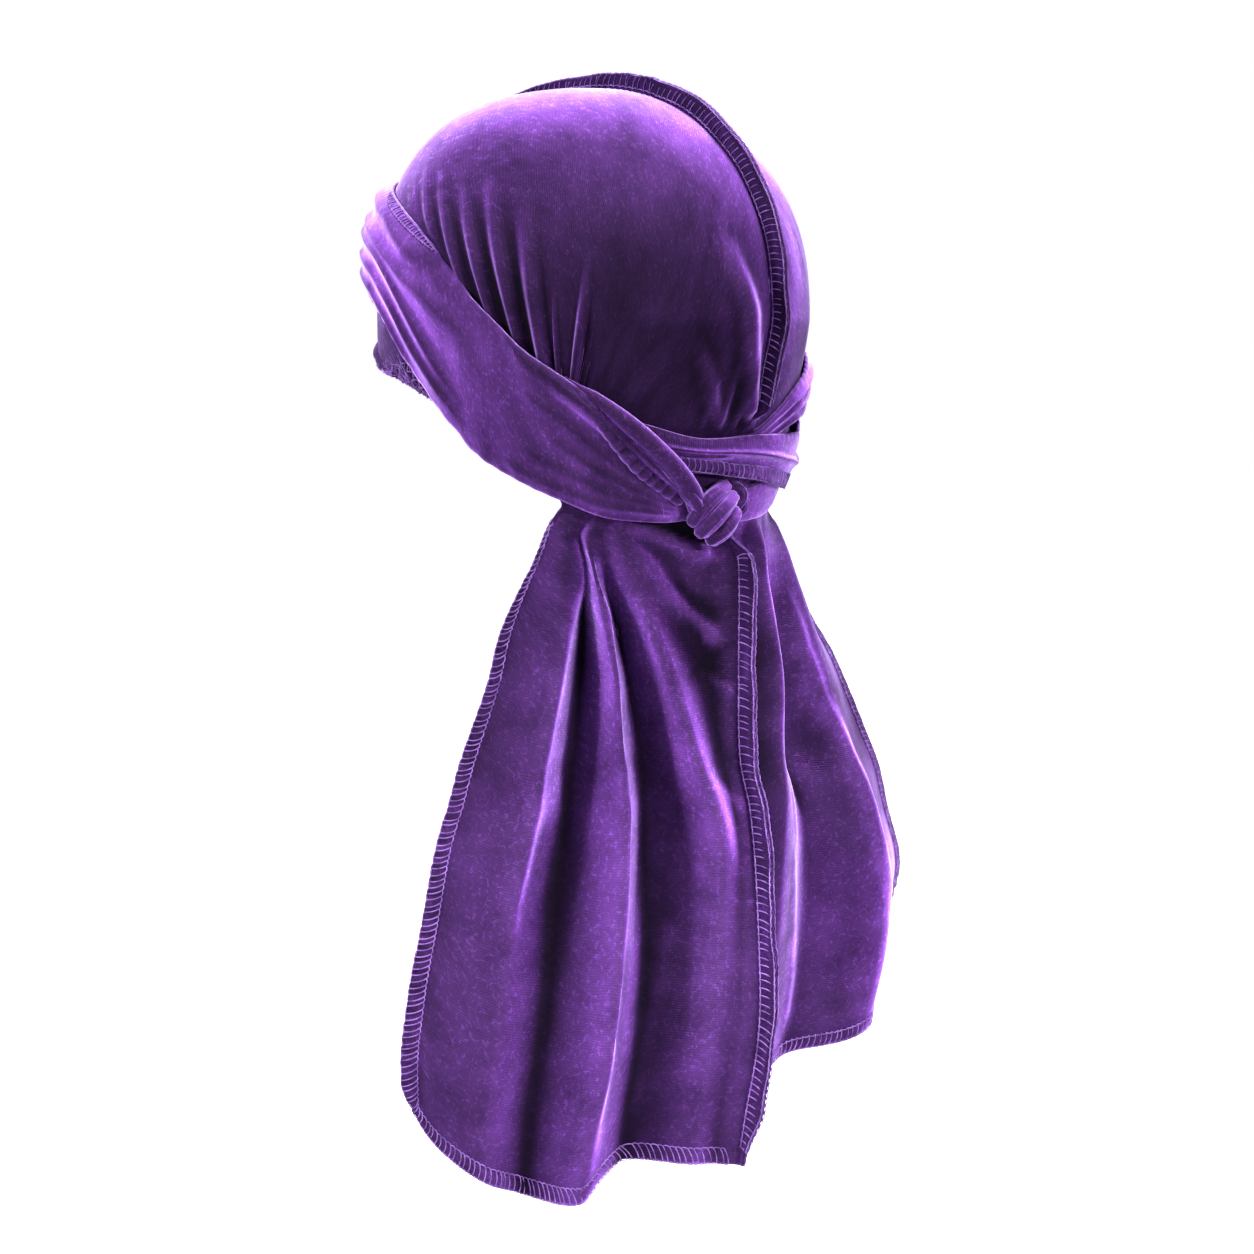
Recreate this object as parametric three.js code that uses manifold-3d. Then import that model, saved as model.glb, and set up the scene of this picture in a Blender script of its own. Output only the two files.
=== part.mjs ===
// A velvet durag in the shape it takes when worn and tied: two cloth panels
// joined by a raised centre seam (cap above, cape below), two wrapped ties and
// the knot at the nape. Millimetres, +Z up. The origin is where the top of the
// head touches the inside of the cap; the wearer faces -Y, the left is +X.
import * as THREE from 'three';
import { mergeVertices } from 'three/addons/utils/BufferGeometryUtils.js';
import Module from 'manifold-3d';

const wasm = await Module();
wasm.setup();

// ---------------------------------------------------------------- sizes (mm)
const HEAD_HALF_WIDTH = 80;      // widest half breadth of the head hollow
const HEAD_BACK = 107;           // crown axis to the back of the hollow
const HEAD_FRONT = 96;           // crown axis to the forehead
const WIDEST_Z = -99;            // level of the largest circumference
const NECK_Z = -215;             // level where the nape meets the neck
const NECK_HALF_WIDTH = 60;
const NECK_BACK = 75;
const NECK_FRONT = 75;
const PLAN_POWER = 2.15;         // roundness of the horizontal sections
const CLOTH = 1.5;               // thickness of one layer of velvet
const SEAM_GAP = 0.15;           // half of the gap between the two seam plies
const SEAM_PLY = 1.2;            // thickness of one turned-up seam ply
const FIN_CAPE = 7;              // height of the seam on the cape
const FIN_PRESSED = 0.2;         // height of the seam where a tie covers it
const BROW_CURL = 2.5;           // how far the brow edge curls out
const CAP_CENTRE_Y = 6;          // centre that the cap rows are aimed from
const CAP_CENTRE_Z = -105;
const HUG_AT_SEAM = -187;        // the cape follows the nape down to this level
const HUG_AT_FOLDS = -177;       // and, beside the seam, down to this one
const HUG_AT_HEM = -171;         // and at the hem only down to here
const FREE_BELOW = 15;           // below that it takes this long to hang free
const HEM_PART = 0.045;          // turned and stitched hem, as a part of the cape's width
const HEM_EXTRA = 0.5;           // how much thicker the hem is on each face

const COLOUR = 0x54297f;
const ROUGHNESS = 0.75;

// ------------------------------------------------------------------- tables
// Centre seam and outer edge of the cap: seam angle up from the forehead
// direction, then azimuth (0 at the back, 90 at the side, 180 at the front)
// and height of the matching point on the outer edge. The cloth of the crown
// is drawn together under the tie behind the ear.
const CAP_EDGE = [
  //  seam  azim  height
  [    5,  112,  -123 ], // brow corner at the temple
  [   20,  101,  -130 ],
  [   35,   90,  -137 ], // above the ear
  [   50,   80,  -142 ],
  [   61,   72,  -146 ],
  [   68, 65.5,  -150 ],
  [   80, 59.5,  -153 ], // behind the ear
  [  103, 58.5,  -156 ],
  [  130, 59.5,  -158 ],
  [  160,   61,  -161 ],
  [  190,   62,  -165 ],
  [  216,   63,  -169 ], // nape
];

// Gathers of the cap above the left ear: soft ridges that run from the crown
// to the tie. Seam angle of the ridge, place on the way to the outer edge
// where it begins and where it is full, height, half width in degrees.
const CAP_GATHERS = [
  [   61, 0.28, 0.55, 2.0, 1.1 ],
  [   64, 0.34, 0.60, 2.6, 1.2 ],
  [   68, 0.40, 0.66, 3.0, 1.4 ],
  [ 73.5, 0.44, 0.68, 2.8, 1.6 ],
  [   80, 0.48, 0.72, 3.8, 2.5 ],
  [  103, 0.60, 0.80, 2.4, 2.6 ],
];

// Soft folds of slack cloth beside the seam at the back, across the gathers:
// azimuth and height of the two ends and the middle, height, half width.
const CAP_SLACK = [
  [   17, -60,   9,  -96,   3, -136,  3.0, 5.5 ],
  [   26, -104, 20,  -122, 14, -142,  1.6, 4.5 ],
];

// Height of the seam over the cap, by seam angle; the ties press it flat.
const CAP_FIN = [
  [ 5, 0.2 ], [ 43, 0.2 ], [ 52, 2.5 ], [ 70, 4.2 ], [ 85, 5.6 ], [ 105, 7 ], [ 125, 7.8 ], [ 190, 7.8 ], [ 198, 7 ], [ 203, 0.2 ], [ 216, 0.2 ],
];

// Seam line of the cape: height and distance behind the crown axis.
const CAPE_SEAM = [
  [ -165, 91 ], [ -183, 86 ], [ -204, 89.5 ], [ -250, 90 ], [ -287, 91 ],
  [ -310, 97 ], [ -350, 101 ], [ -390, 103 ], [ -415, 101 ], [ -445, 95 ],
  [ -482, 89 ],
];

// Folds of each half of the cape. "lie" is the place of the fold in the cloth,
// 0 at the seam and 1 at the hem. Each level gives how far the fold lies from
// the seam towards the hem, and how far it stands out (+) or in (-).
const LEFT_CAPE = {
  turn: 44,                      // direction of the hem, in degrees from +X towards -Y
  lie:    [ 0, 0.07, 0.15, 0.31, 0.46, 0.61, 0.76, 1 ],
  //          seam      dip        ridge by   broad      sharp      deep       ridge by   hem
  //                               the seam   valley     ridge      valley     the hem    edge
  levels: [
    [ -183, [ 0, 0 ], [ 30, 14 ], [ 50, 19 ], [ 57, 15 ],  [ 63, 18 ], [ 68, 14 ], [ 74, 15 ], [ 84, 12 ] ],
    [ -210, [ 0, 0 ], [ 24, 5 ],  [ 45, 13 ], [ 56, 7 ],   [ 65, 12 ], [ 70, 4 ],  [ 77, 9 ],  [ 89, 2 ] ],
    [ -232, [ 0, 0 ], [ 17, 0 ],  [ 37, 12 ], [ 51, -3 ],  [ 60, 11 ], [ 67, -4 ], [ 76, 8 ],  [ 99, 0 ] ],
    [ -255, [ 0, 0 ], [ 12, -1 ], [ 28, 11 ], [ 46, -7 ],  [ 55, 10 ], [ 68, -8 ], [ 79, 9 ],  [ 106, 0 ] ],
    [ -287, [ 0, 0 ], [ 8, 0 ],   [ 19, 10 ], [ 42, -10 ], [ 53, 10 ], [ 71, -9 ], [ 85, 9 ],  [ 119, -1 ] ],
    [ -320, [ 0, 0 ], [ 6, 1 ],   [ 14, 7 ],  [ 45, -11 ], [ 57, 9 ],  [ 81, -9 ], [ 98, 7 ],  [ 134, -2 ] ],
    [ -355, [ 0, 0 ], [ 6, 1 ],   [ 14, 4 ],  [ 47, -11 ], [ 60, 8 ],  [ 88, -8 ], [ 106, 5 ], [ 143, -2 ] ],
    [ -390, [ 0, 0 ], [ 8, 1 ],   [ 18, 3 ],  [ 49, -10 ], [ 65, 8 ],  [ 92, -7 ], [ 111, 4 ], [ 151, 0 ] ],
    [ -420, [ 0, 0 ], [ 10, 1 ],  [ 20, 3 ],  [ 50, -9 ],  [ 67, 9 ],  [ 94, -6 ], [ 113, 4 ], [ 152, 2 ] ],
    [ -480, [ 0, 0 ], [ 9, 0 ],   [ 19, 4 ],  [ 50, -8 ],  [ 68, 11 ], [ 93, -5 ], [ 110, 4 ], [ 138, 3 ] ],
  ],
  // height of the bottom edge, by place in the cloth
  bottom: [ [ 0, -467 ], [ 0.15, -465 ], [ 0.31, -466 ], [ 0.4, -472 ], [ 0.46, -480 ], [ 0.6, -480 ],
            [ 0.76, -471 ], [ 0.85, -463 ], [ 0.93, -450 ], [ 1, -428 ] ],
};
const RIGHT_CAPE = {
  turn: 170,
  lie:    [ 0, 0.08, 0.2, 0.42, 0.74, 1 ],
  //          seam      dip        ridge by   slanting   ridge by    hem
  //                               the seam   valley     the hem     edge
  levels: [
    [ -183, [ 0, 0 ], [ 10, 0 ],   [ 20, 1 ],   [ 36, -4 ],  [ 56, -12 ], [ 75, -30 ] ],
    [ -210, [ 0, 0 ], [ 11, -3 ],  [ 21, 3 ],   [ 31, -7 ],  [ 60, -6 ],  [ 85, -24 ] ],
    [ -232, [ 0, 0 ], [ 13, -4 ],  [ 25, 5 ],   [ 34, -9 ],  [ 64, 0 ],   [ 90, -15 ] ],
    [ -255, [ 0, 0 ], [ 14, -5 ],  [ 28, 6 ],   [ 42, -10 ], [ 70, 5 ],   [ 99, -5 ] ],
    [ -290, [ 0, 0 ], [ 14, -5 ],  [ 28, 5 ],   [ 54, -11 ], [ 84, 8 ],   [ 117, 0 ] ],
    [ -325, [ 0, 0 ], [ 13, -6 ],  [ 26, 2 ],   [ 64, -11 ], [ 96, 9 ],   [ 127, 0 ] ],
    [ -355, [ 0, 0 ], [ 13, -8 ],  [ 26, -2 ],  [ 62, -11 ], [ 104, 10 ], [ 138, 0 ] ],
    [ -385, [ 0, 0 ], [ 13, -10 ], [ 27, -7 ],  [ 56, -12 ], [ 99, 11 ],  [ 128, -5 ] ],
    [ -420, [ 0, 0 ], [ 14, -12 ], [ 29, -12 ], [ 52, -14 ], [ 90, 10 ],  [ 114, -8 ] ],
    [ -480, [ 0, 0 ], [ 15, -14 ], [ 30, -16 ], [ 50, -16 ], [ 86, 9 ],   [ 110, -10 ] ],
  ],
  bottom: [ [ 0, -467 ], [ 0.1, -452 ], [ 0.25, -438 ], [ 0.45, -431 ], [ 0.65, -427 ],
            [ 0.8, -417 ], [ 0.92, -400 ], [ 1, -374 ] ],
};

// Ties: azimuth along the turn, upper and lower edge, distance of the inner
// face from the head, and how strongly the long creases stand out there.
const LEFT_TIE = [
  //  azim  upper  lower  lift  crease
  [    50,  -140,  -158,  4.6,  0.0 ], // hidden start under the wide part
  [    40,  -141,  -162,  4.6,  0.3 ],
  [    20,  -148,  -162,  4.6,  0.6 ], // band across the nape
  [     0,  -147,  -165,  4.6,  0.8 ],
  [   -20,  -147,  -170,  4.6,  0.8 ],
  [   -36,  -145,  -171,  4.6,  0.8 ],
  [   -60,  -124,  -156,  4.6,  0.8 ],
  [   -90,   -95,  -133,  4.6,  0.8 ], // over the right ear
  [  -120,   -68,  -112,  4.6,  0.8 ],
  [  -150,   -45,   -92,  4.6,  0.9 ],
  [  -180,   -38,   -82,  4.6,  1.0 ], // forehead
  [  -210,   -38,   -82,  4.6,  1.0 ],
  [  -233,   -45,   -90,  4.6,  1.0 ],
  [  -249,   -54,  -104,  4.6,  1.0 ],
  [  -262,   -66,  -127,  4.6,  1.0 ],
  [  -271,   -80,  -144,  4.7,  0.9 ], // over the left ear
  [  -277,   -91,  -155,  5.2,  0.8 ],
  [  -290,  -110,  -166,  6.2,  0.7 ],
  [  -303,  -124,  -174,  7.0,  0.7 ],
  [  -314,  -136,  -180,  7.0,  0.9 ],
  [  -327,  -152,  -182,  7.0,  1.0 ],
  [  -334,  -162,  -183,  4.6,  0.8 ],
  [  -340,  -168,  -183,  2.8,  0.1 ],
  [  -346,  -170,  -183,  2.4,  0.0 ], // into the knot
];
const RIGHT_TIE = [
  [   -92,  -108,  -122,  2.4,  0.0 ], // sewn end at the right temple
  [   -80,  -108,  -121,  2.4,  0.0 ],
  [   -70,  -105,  -115,  2.4,  0.0 ],
  [   -60,  -106,  -118,  2.4,  0.6 ], // rolled up like a rope
  [   -45,  -112,  -131,  2.4,  0.8 ],
  [   -30,  -121,  -142,  2.4,  0.8 ],
  [   -19,  -128, -144.5, 2.4,  0.7 ],
  [    -8,  -139,  -151,  2.4,  0.0 ],
  [     2,  -147,  -159,  2.4,  0.0 ], // crosses the nape under the band
  [    20,  -149,  -162,  2.4,  0.0 ],
  [    40,  -149,  -164,  2.4,  0.0 ],
  [    66,  -134,  -158,  2.4,  0.0 ],
  [    90,   -98,  -130,  2.4,  0.0 ], // under the left tie
  [   120,   -62,   -88,  2.4,  0.0 ],
  [   150,   -48,   -84,  2.4,  0.0 ],
  [   180,   -50,   -89,  2.4,  0.0 ], // forehead
  [   210,   -58,   -98,  2.4,  0.0 ],
  [   240,   -86,  -121,  2.4,  0.0 ],
  [   262,  -116,  -140,  2.4,  0.0 ],
  [   280,  -130,  -156,  2.4,  0.0 ],
  [   300,  -140,  -168,  2.4,  0.0 ],
  [   326,  -152,  -174,  2.4,  0.0 ],
  [   340,  -164,  -182,  2.5,  0.3 ],
  [   350,  -168,  -184,  2.5,  0.4 ],
  [   361,  -171,  -185,  2.3,  0.0 ], // into the knot
];

// Long creases of the ties: place across the width (0 upper edge, 1 lower),
// at the front, over the ear, behind it and at the knot; height of the ridge
// at the front and at the knot; half width as a part of the whole width.
const LEFT_CREASES = [
  //  front  ear   behind  knot   high  at knot  wide
  [   0.04,  0.04,  0.07,  0.14,  1.6,   4.6,   0.11 ], // rolled upper edge
  [   0.22,  0.20,  0.24,  0.34,  1.6,   1.4,   0.09 ],
  [   0.50,  0.42,  0.44,  0.50,  2.0,   1.4,   0.10 ],
  [   0.66,  0.60,  0.62,  0.66,  1.2,   1.2,   0.08 ],
  [   0.82,  0.78,  0.80,  0.82,  1.4,   1.2,   0.08 ],
  [   0.97,  0.97,  0.96,  0.96,  1.2,   1.0,   0.06 ], // lip of the lower edge
];
const RIGHT_CREASES = [
  [   0.17,  0.17,  0.17,  0.17,  3.6,   3.6,   0.16 ],
  [   0.50,  0.50,  0.50,  0.50,  4.4,   4.4,   0.17 ],
  [   0.83,  0.83,  0.83,  0.83,  3.6,   3.6,   0.16 ],
];

// Strands of the knot around a point at the nape: each bends through three
// points given to the wearer's right, up and outwards; then its thickness.
const KNOT_AT = { azimuth: 11, z: -178, lift: 6 };
const KNOT_STRANDS = [
  [ [ -13, -6, 1.5 ], [ -9, 4, 8 ], [ 5, 10, 2.5 ], 3.6 ],
  [ [ -10, -10, 2 ], [ -5.5, -2, 10 ], [ 8, 6, 3 ], 3.7 ],
  [ [ -5, -13, 2 ], [ 0, -7.5, 8.5 ], [ 9, 0, 3 ], 3.6 ],
  [ [ 4, 11, 1.5 ], [ 11.5, 7, 4.5 ], [ 8.5, 0, 3 ], 2.6 ],   // loops on the right
  [ [ 7, -4, 2 ], [ 13, 1, 3.5 ], [ 7, 4, 2.5 ], 2.4 ],
  [ [ -21, 10, 5 ], [ -16, 5, 7 ], [ -11, -0.5, 5.5 ], 3.2 ], // rounded end of the rolled edge
];

// ------------------------------------------------------------ small helpers
const rad = Math.PI / 180;
const clamp01 = (x) => Math.min(1, Math.max(0, x));
const mix = (a, b, t) => a + (b - a) * t;
const smooth = (a, b, x) => { const t = clamp01((x - a) / (b - a)); return t * t * (3 - 2 * t); };

// smooth curve through the points of a table, column 0 against column c
function along(rows, c, x) {
  const up = rows[rows.length - 1][0] > rows[0][0] ? 1 : -1;
  const n = rows.length;
  if ((x - rows[0][0]) * up <= 0) return rows[0][c];
  if ((x - rows[n - 1][0]) * up >= 0) return rows[n - 1][c];
  let i = 0;
  while ((x - rows[i + 1][0]) * up > 0) i++;
  const slope = (k) => {
    if (k === 0 || k === n - 1) { const j = k === 0 ? 0 : n - 2; return (rows[j + 1][c] - rows[j][c]) / (rows[j + 1][0] - rows[j][0]); }
    return (rows[k + 1][c] - rows[k - 1][c]) / (rows[k + 1][0] - rows[k - 1][0]);
  };
  const h = rows[i + 1][0] - rows[i][0], t = (x - rows[i][0]) / h;
  const t2 = t * t, t3 = t2 * t;
  return (2 * t3 - 3 * t2 + 1) * rows[i][c] + (t3 - 2 * t2 + t) * h * slope(i)
    + (3 * t2 - 2 * t3) * rows[i + 1][c] + (t3 - t2) * h * slope(i + 1);
}

// ------------------------------------------------------- the head hollow
const rise = (z, p) => { const t = clamp01((z - WIDEST_Z) / -WIDEST_Z); return Math.pow(Math.max(0, 1 - Math.pow(t, p)), 1 / p); };
const fall = (z, top, low, q) => { const t = Math.min(1.3, Math.max(0, (WIDEST_Z - z) / (WIDEST_Z - NECK_Z))); return top - (top - low) * Math.pow(t, q); };
function section(z) {
  if (z > WIDEST_Z) return [HEAD_HALF_WIDTH * rise(z, 2.55), HEAD_BACK * rise(z, 2.2), HEAD_FRONT * rise(z, 2.7)];
  return [fall(z, HEAD_HALF_WIDTH, NECK_HALF_WIDTH, 2), fall(z, HEAD_BACK, NECK_BACK, 1.12), fall(z, HEAD_FRONT, NECK_FRONT, 2)];
}
function onHead(azimuth, z) {
  const a = azimuth * rad, [w, b, f] = section(z), s = Math.sin(a), c = Math.cos(a);
  return new THREE.Vector3(w * Math.sign(s) * Math.pow(Math.abs(s), 2 / PLAN_POWER),
    (c > 0 ? b : f) * Math.sign(c) * Math.pow(Math.abs(c), 2 / PLAN_POWER), z);
}
function headValue(p) {
  const [w, b, f] = section(p.z);
  return Math.pow(Math.abs(p.x) / (w + 1e-6), PLAN_POWER) + Math.pow(Math.abs(p.y) / ((p.y > 0 ? b : f) + 1e-6), PLAN_POWER) - 1;
}
function headNormal(p) {
  const e = 0.05, q = p.clone(), g = new THREE.Vector3();
  for (const k of ['x', 'y', 'z']) {
    q[k] = p[k] + e; const hi = headValue(q);
    q[k] = p[k] - e; const lo = headValue(q);
    q[k] = p[k]; g[k] = hi - lo;
  }
  return g.normalize();
}
function seat(azimuth, z, lift) {
  const p = onHead(azimuth, z);
  return p.addScaledVector(headNormal(p), lift);
}
const CENTRE = new THREE.Vector3(0, CAP_CENTRE_Y, CAP_CENTRE_Z);
function rayToHead(dir) {
  let lo = 20, hi = 200;
  for (let i = 0; i < 40; i++) {
    const m = (lo + hi) / 2, p = CENTRE.clone().addScaledVector(dir, m);
    if (p.z < -0.02 && headValue(p) < 0) lo = m; else hi = m;
  }
  return CENTRE.clone().addScaledVector(dir, lo);
}

// ------------------------------------------------- closed wall from two skins
// rows: [{ outer: [Vector3], inner: [Vector3], u: [number] }]. Neighbouring
// rows may have different counts; they are zipped together by u.
function wall(rows, flip) {
  const pos = [], tri = [], idO = [], idI = [];
  for (const r of rows) {
    idO.push(r.outer.map((p) => (pos.push(p.x, p.y, p.z), pos.length / 3 - 1)));
    idI.push(r.inner.map((p) => (pos.push(p.x, p.y, p.z), pos.length / 3 - 1)));
  }
  const face = (a, b, c) => { if (flip) tri.push(a, c, b); else tri.push(a, b, c); };
  for (let k = 0; k + 1 < rows.length; k++) {
    const A = rows[k].u, B = rows[k + 1].u, OA = idO[k], OB = idO[k + 1], IA = idI[k], IB = idI[k + 1];
    let i = 0, j = 0;
    while (i < A.length - 1 || j < B.length - 1) {
      const stepA = j === B.length - 1 || (i < A.length - 1 && A[i + 1] <= B[j + 1]);
      if (stepA) { face(OA[i], OA[i + 1], OB[j]); face(IA[i], IB[j], IA[i + 1]); i++; }
      else { face(OA[i], OB[j + 1], OB[j]); face(IA[i], IB[j], IB[j + 1]); j++; }
    }
    const ea = A.length - 1, eb = B.length - 1;
    face(OA[0], OB[0], IB[0]); face(OA[0], IB[0], IA[0]);
    face(OA[ea], IA[ea], IB[eb]); face(OA[ea], IB[eb], OB[eb]);
  }
  for (const [k, first] of [[0, true], [rows.length - 1, false]]) {
    const O = idO[k], I = idI[k];
    for (let i = 0; i + 1 < O.length; i++) {
      if (first) { face(O[i], I[i], I[i + 1]); face(O[i], I[i + 1], O[i + 1]); }
      else { face(O[i], I[i + 1], I[i]); face(O[i], O[i + 1], I[i + 1]); }
    }
  }
  const g = new THREE.BufferGeometry();
  g.setAttribute('position', new THREE.BufferAttribute(new Float32Array(pos), 3));
  g.setIndex(tri);
  return g;
}

// --------------------------------------------------------- cap of one panel
// The seam angle runs from the brow over the crown to the nape, t from the
// seam (0) to the outer edge (1); side is +1 on the left, -1 on the right.
function slackLift(p) {
  let sum = 0;
  for (const [a0, z0, am, zm, a1, z1, high, wide] of CAP_SLACK) {
    const q = [onHead(a0, z0), onHead(am, zm), onHead(a1, z1)];
    let best = 1e9, at = 0;
    for (let i = 0; i < 2; i++) {
      const d = q[i + 1].clone().sub(q[i]), s = clamp01(p.clone().sub(q[i]).dot(d) / d.lengthSq());
      const dist = q[i].clone().addScaledVector(d, s).distanceTo(p);
      if (dist < best) { best = dist; at = (i + s) / 2; }
    }
    sum += high * Math.exp(-Math.pow(best / wide, 2) * 1.4) * smooth(0, 0.45, at);
  }
  return sum * smooth(-146, -138, p.z);
}
function gatherLift(angle, t, p) {
  let sum = 0;
  for (const [at, begin, full, high, wide] of CAP_GATHERS) {
    sum += high * Math.exp(-Math.pow((angle - at) / wide, 2)) * smooth(begin, full, t);
  }
  // the left tie presses them flat below its upper edge
  const edge = along(LEFT_TIE, 1, Math.atan2(p.x, p.y) / rad - 360);
  return sum * smooth(edge - 4, edge + 4, p.z);
}
function capPoint(angle, t, side) {
  const a = angle * rad;
  const seam = rayToHead(new THREE.Vector3(0, -Math.cos(a), Math.sin(a)));
  const edge = onHead(along(CAP_EDGE, 1, angle), along(CAP_EDGE, 2, angle));
  const d0 = seam.clone().sub(CENTRE).normalize(), d1 = edge.clone().sub(CENTRE).normalize();
  const arc = Math.acos(d0.dot(d1));
  const d = d0.multiplyScalar(Math.sin((1 - t) * arc) / Math.sin(arc)).addScaledVector(d1, Math.sin(t * arc) / Math.sin(arc)).normalize();
  const p = rayToHead(d), n = headNormal(p);
  let lift = BROW_CURL * (1 - smooth(5, 8, angle));
  if (side > 0) lift += slackLift(p) + gatherLift(angle, t, p);
  p.addScaledVector(n, lift + CLOTH / 2 + 0.05);
  p.x *= side; n.x *= side;
  return { p, n };
}

// -------------------------------------------------------- cape of one panel
function capeMid(cape, side, t, z) {
  const table = cape.levels.map((r) => [r[0], ...r.slice(1).map((v) => v[0]), ...r.slice(1).map((v) => v[1])]);
  const n = cape.lie.length;
  let i = 0;
  while (i < n - 2 && t > cape.lie[i + 1]) i++;
  const f = clamp01((t - cape.lie[i]) / (cape.lie[i + 1] - cape.lie[i]));
  const w = f * f * (3 - 2 * f);
  const out = mix(along(table, 1 + i, z), along(table, 2 + i, z), mix(f, w, 0.15));
  const deep = mix(along(table, 1 + n + i, z), along(table, 2 + n + i, z), w);
  const c = Math.cos(cape.turn * rad), s = Math.sin(cape.turn * rad);
  const seamY = along(CAPE_SEAM, 1, z);
  // out runs along (c, -s); deep runs across it, away from the wearer
  const p = new THREE.Vector3(c * out + (side > 0 ? s : -s) * deep, seamY - s * out + Math.abs(c) * deep, z);
  const own = Math.abs(Math.atan2(p.x, p.y)) / rad;
  const azimuth = mix(t * 62, own, smooth(-171, -180, z)) * side;
  const hug = onHead(azimuth, Math.max(z, -212));
  hug.z = z;
  hug.addScaledVector(headNormal(hug), CLOTH / 2 + 0.05);
  const level = mix(mix(HUG_AT_SEAM, HUG_AT_FOLDS, smooth(0, 0.2, t)), HUG_AT_HEM, smooth(0.75, 1, t));
  return hug.lerp(p, smooth(level, level - FREE_BELOW, z));
}
function capePoint(h, t, side) {
  const cape = side > 0 ? LEFT_CAPE : RIGHT_CAPE;
  const at = (hh, tt) => capeMid(cape, side, tt, mix(-172, along(cape.bottom, 1, tt), hh));
  const e = 0.004;
  const p = at(h, t);
  const dt = at(h, Math.min(1, t + e)).sub(at(h, Math.max(0, t - e)));
  const dh = at(Math.min(1, h + e), t).sub(at(Math.max(0, h - e), t));
  const n = dt.cross(dh).normalize();
  if (side < 0) n.negate();
  return { p, n };
}

// ------------------------------------------------------------ whole panels
function panel(side, capRows, capColumns, capeRows, capeColumns) {
  const rows = [];
  const addRow = (get, columns, finHeight, finDir, hemWidth) => {
    const row = { outer: [], inner: [], u: [] };
    const base = get(0);
    const b = base.p, tip = finDir.clone().multiplyScalar(finHeight);
    const low = b.clone().addScaledVector(finDir, -CLOTH / 2), high = b.clone().addScaledVector(finDir, CLOTH / 2 + 0.1);
    low.x = SEAM_GAP * side; high.x = (SEAM_GAP + SEAM_PLY) * side;
    const topIn = high.clone().add(tip), topOut = high.clone().add(tip);
    topIn.x = SEAM_GAP * side; topOut.x = (SEAM_GAP + SEAM_PLY) * side;
    row.outer.push(topOut, high); row.inner.push(topIn, low); row.u.push(-0.1, 0);
    for (const t of columns) {
      const { p, n } = get(t);
      const extra = hemWidth > 0 && t > 1 - hemWidth ? HEM_EXTRA : 0;
      row.outer.push(p.clone().addScaledVector(n, CLOTH / 2 + extra));
      row.inner.push(p.clone().addScaledVector(n, -CLOTH / 2 - extra));
      row.u.push(t);
    }
    rows.push(row);
  };
  for (const angle of capRows) {
    const fin = along(CAP_FIN, 1, angle);
    const dir = capPoint(angle, 0, side).n; dir.x = 0; dir.normalize();
    addRow((t) => capPoint(angle, t, side), capColumns, fin, dir, 0);
  }
  for (const h of capeRows) {
    const z = mix(-172, -467, h);
    const fin = mix(FIN_PRESSED, FIN_CAPE, smooth(-196, -212, z)) * mix(1, 0.3, smooth(-440, -466, z));
    addRow((t) => capePoint(h, t, side), capeColumns, fin, new THREE.Vector3(0, 1, 0), HEM_PART);
  }
  return wall(rows, side < 0);
}

// ------------------------------------------------------------------- ties
function tie(table, creases, stops, columns, side) {
  const rows = [];
  for (const a of stops) {
    const upper = along(table, 1, a), lower = along(table, 2, a), lift = along(table, 3, a), amount = along(table, 4, a);
    const row = { outer: [], inner: [], u: [] };
    for (const w of columns(a)) {
      let out = 0;
      const round = Math.abs(((a % 360) + 540) % 360 - 180);
      for (const [front, ear, behind, knot, high, highKnot, wide] of creases) {
        const place = along([[0, knot], [20, knot], [50, behind], [92, ear], [150, front], [180, front]], 1, round);
        const rise = mix(highKnot, high, smooth(30, 65, a < -200 ? round : 180));
        out += rise * amount * Math.exp(-Math.pow((w - place) / wide, 2));
      }
      const z = mix(upper, lower, w);
      row.outer.push(seat(a, z, lift + CLOTH + out));
      row.inner.push(seat(a, z, lift + out * 0.85));
      row.u.push(w);
    }
    rows.push(row);
  }
  return wall(rows, side > 0);
}

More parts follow.
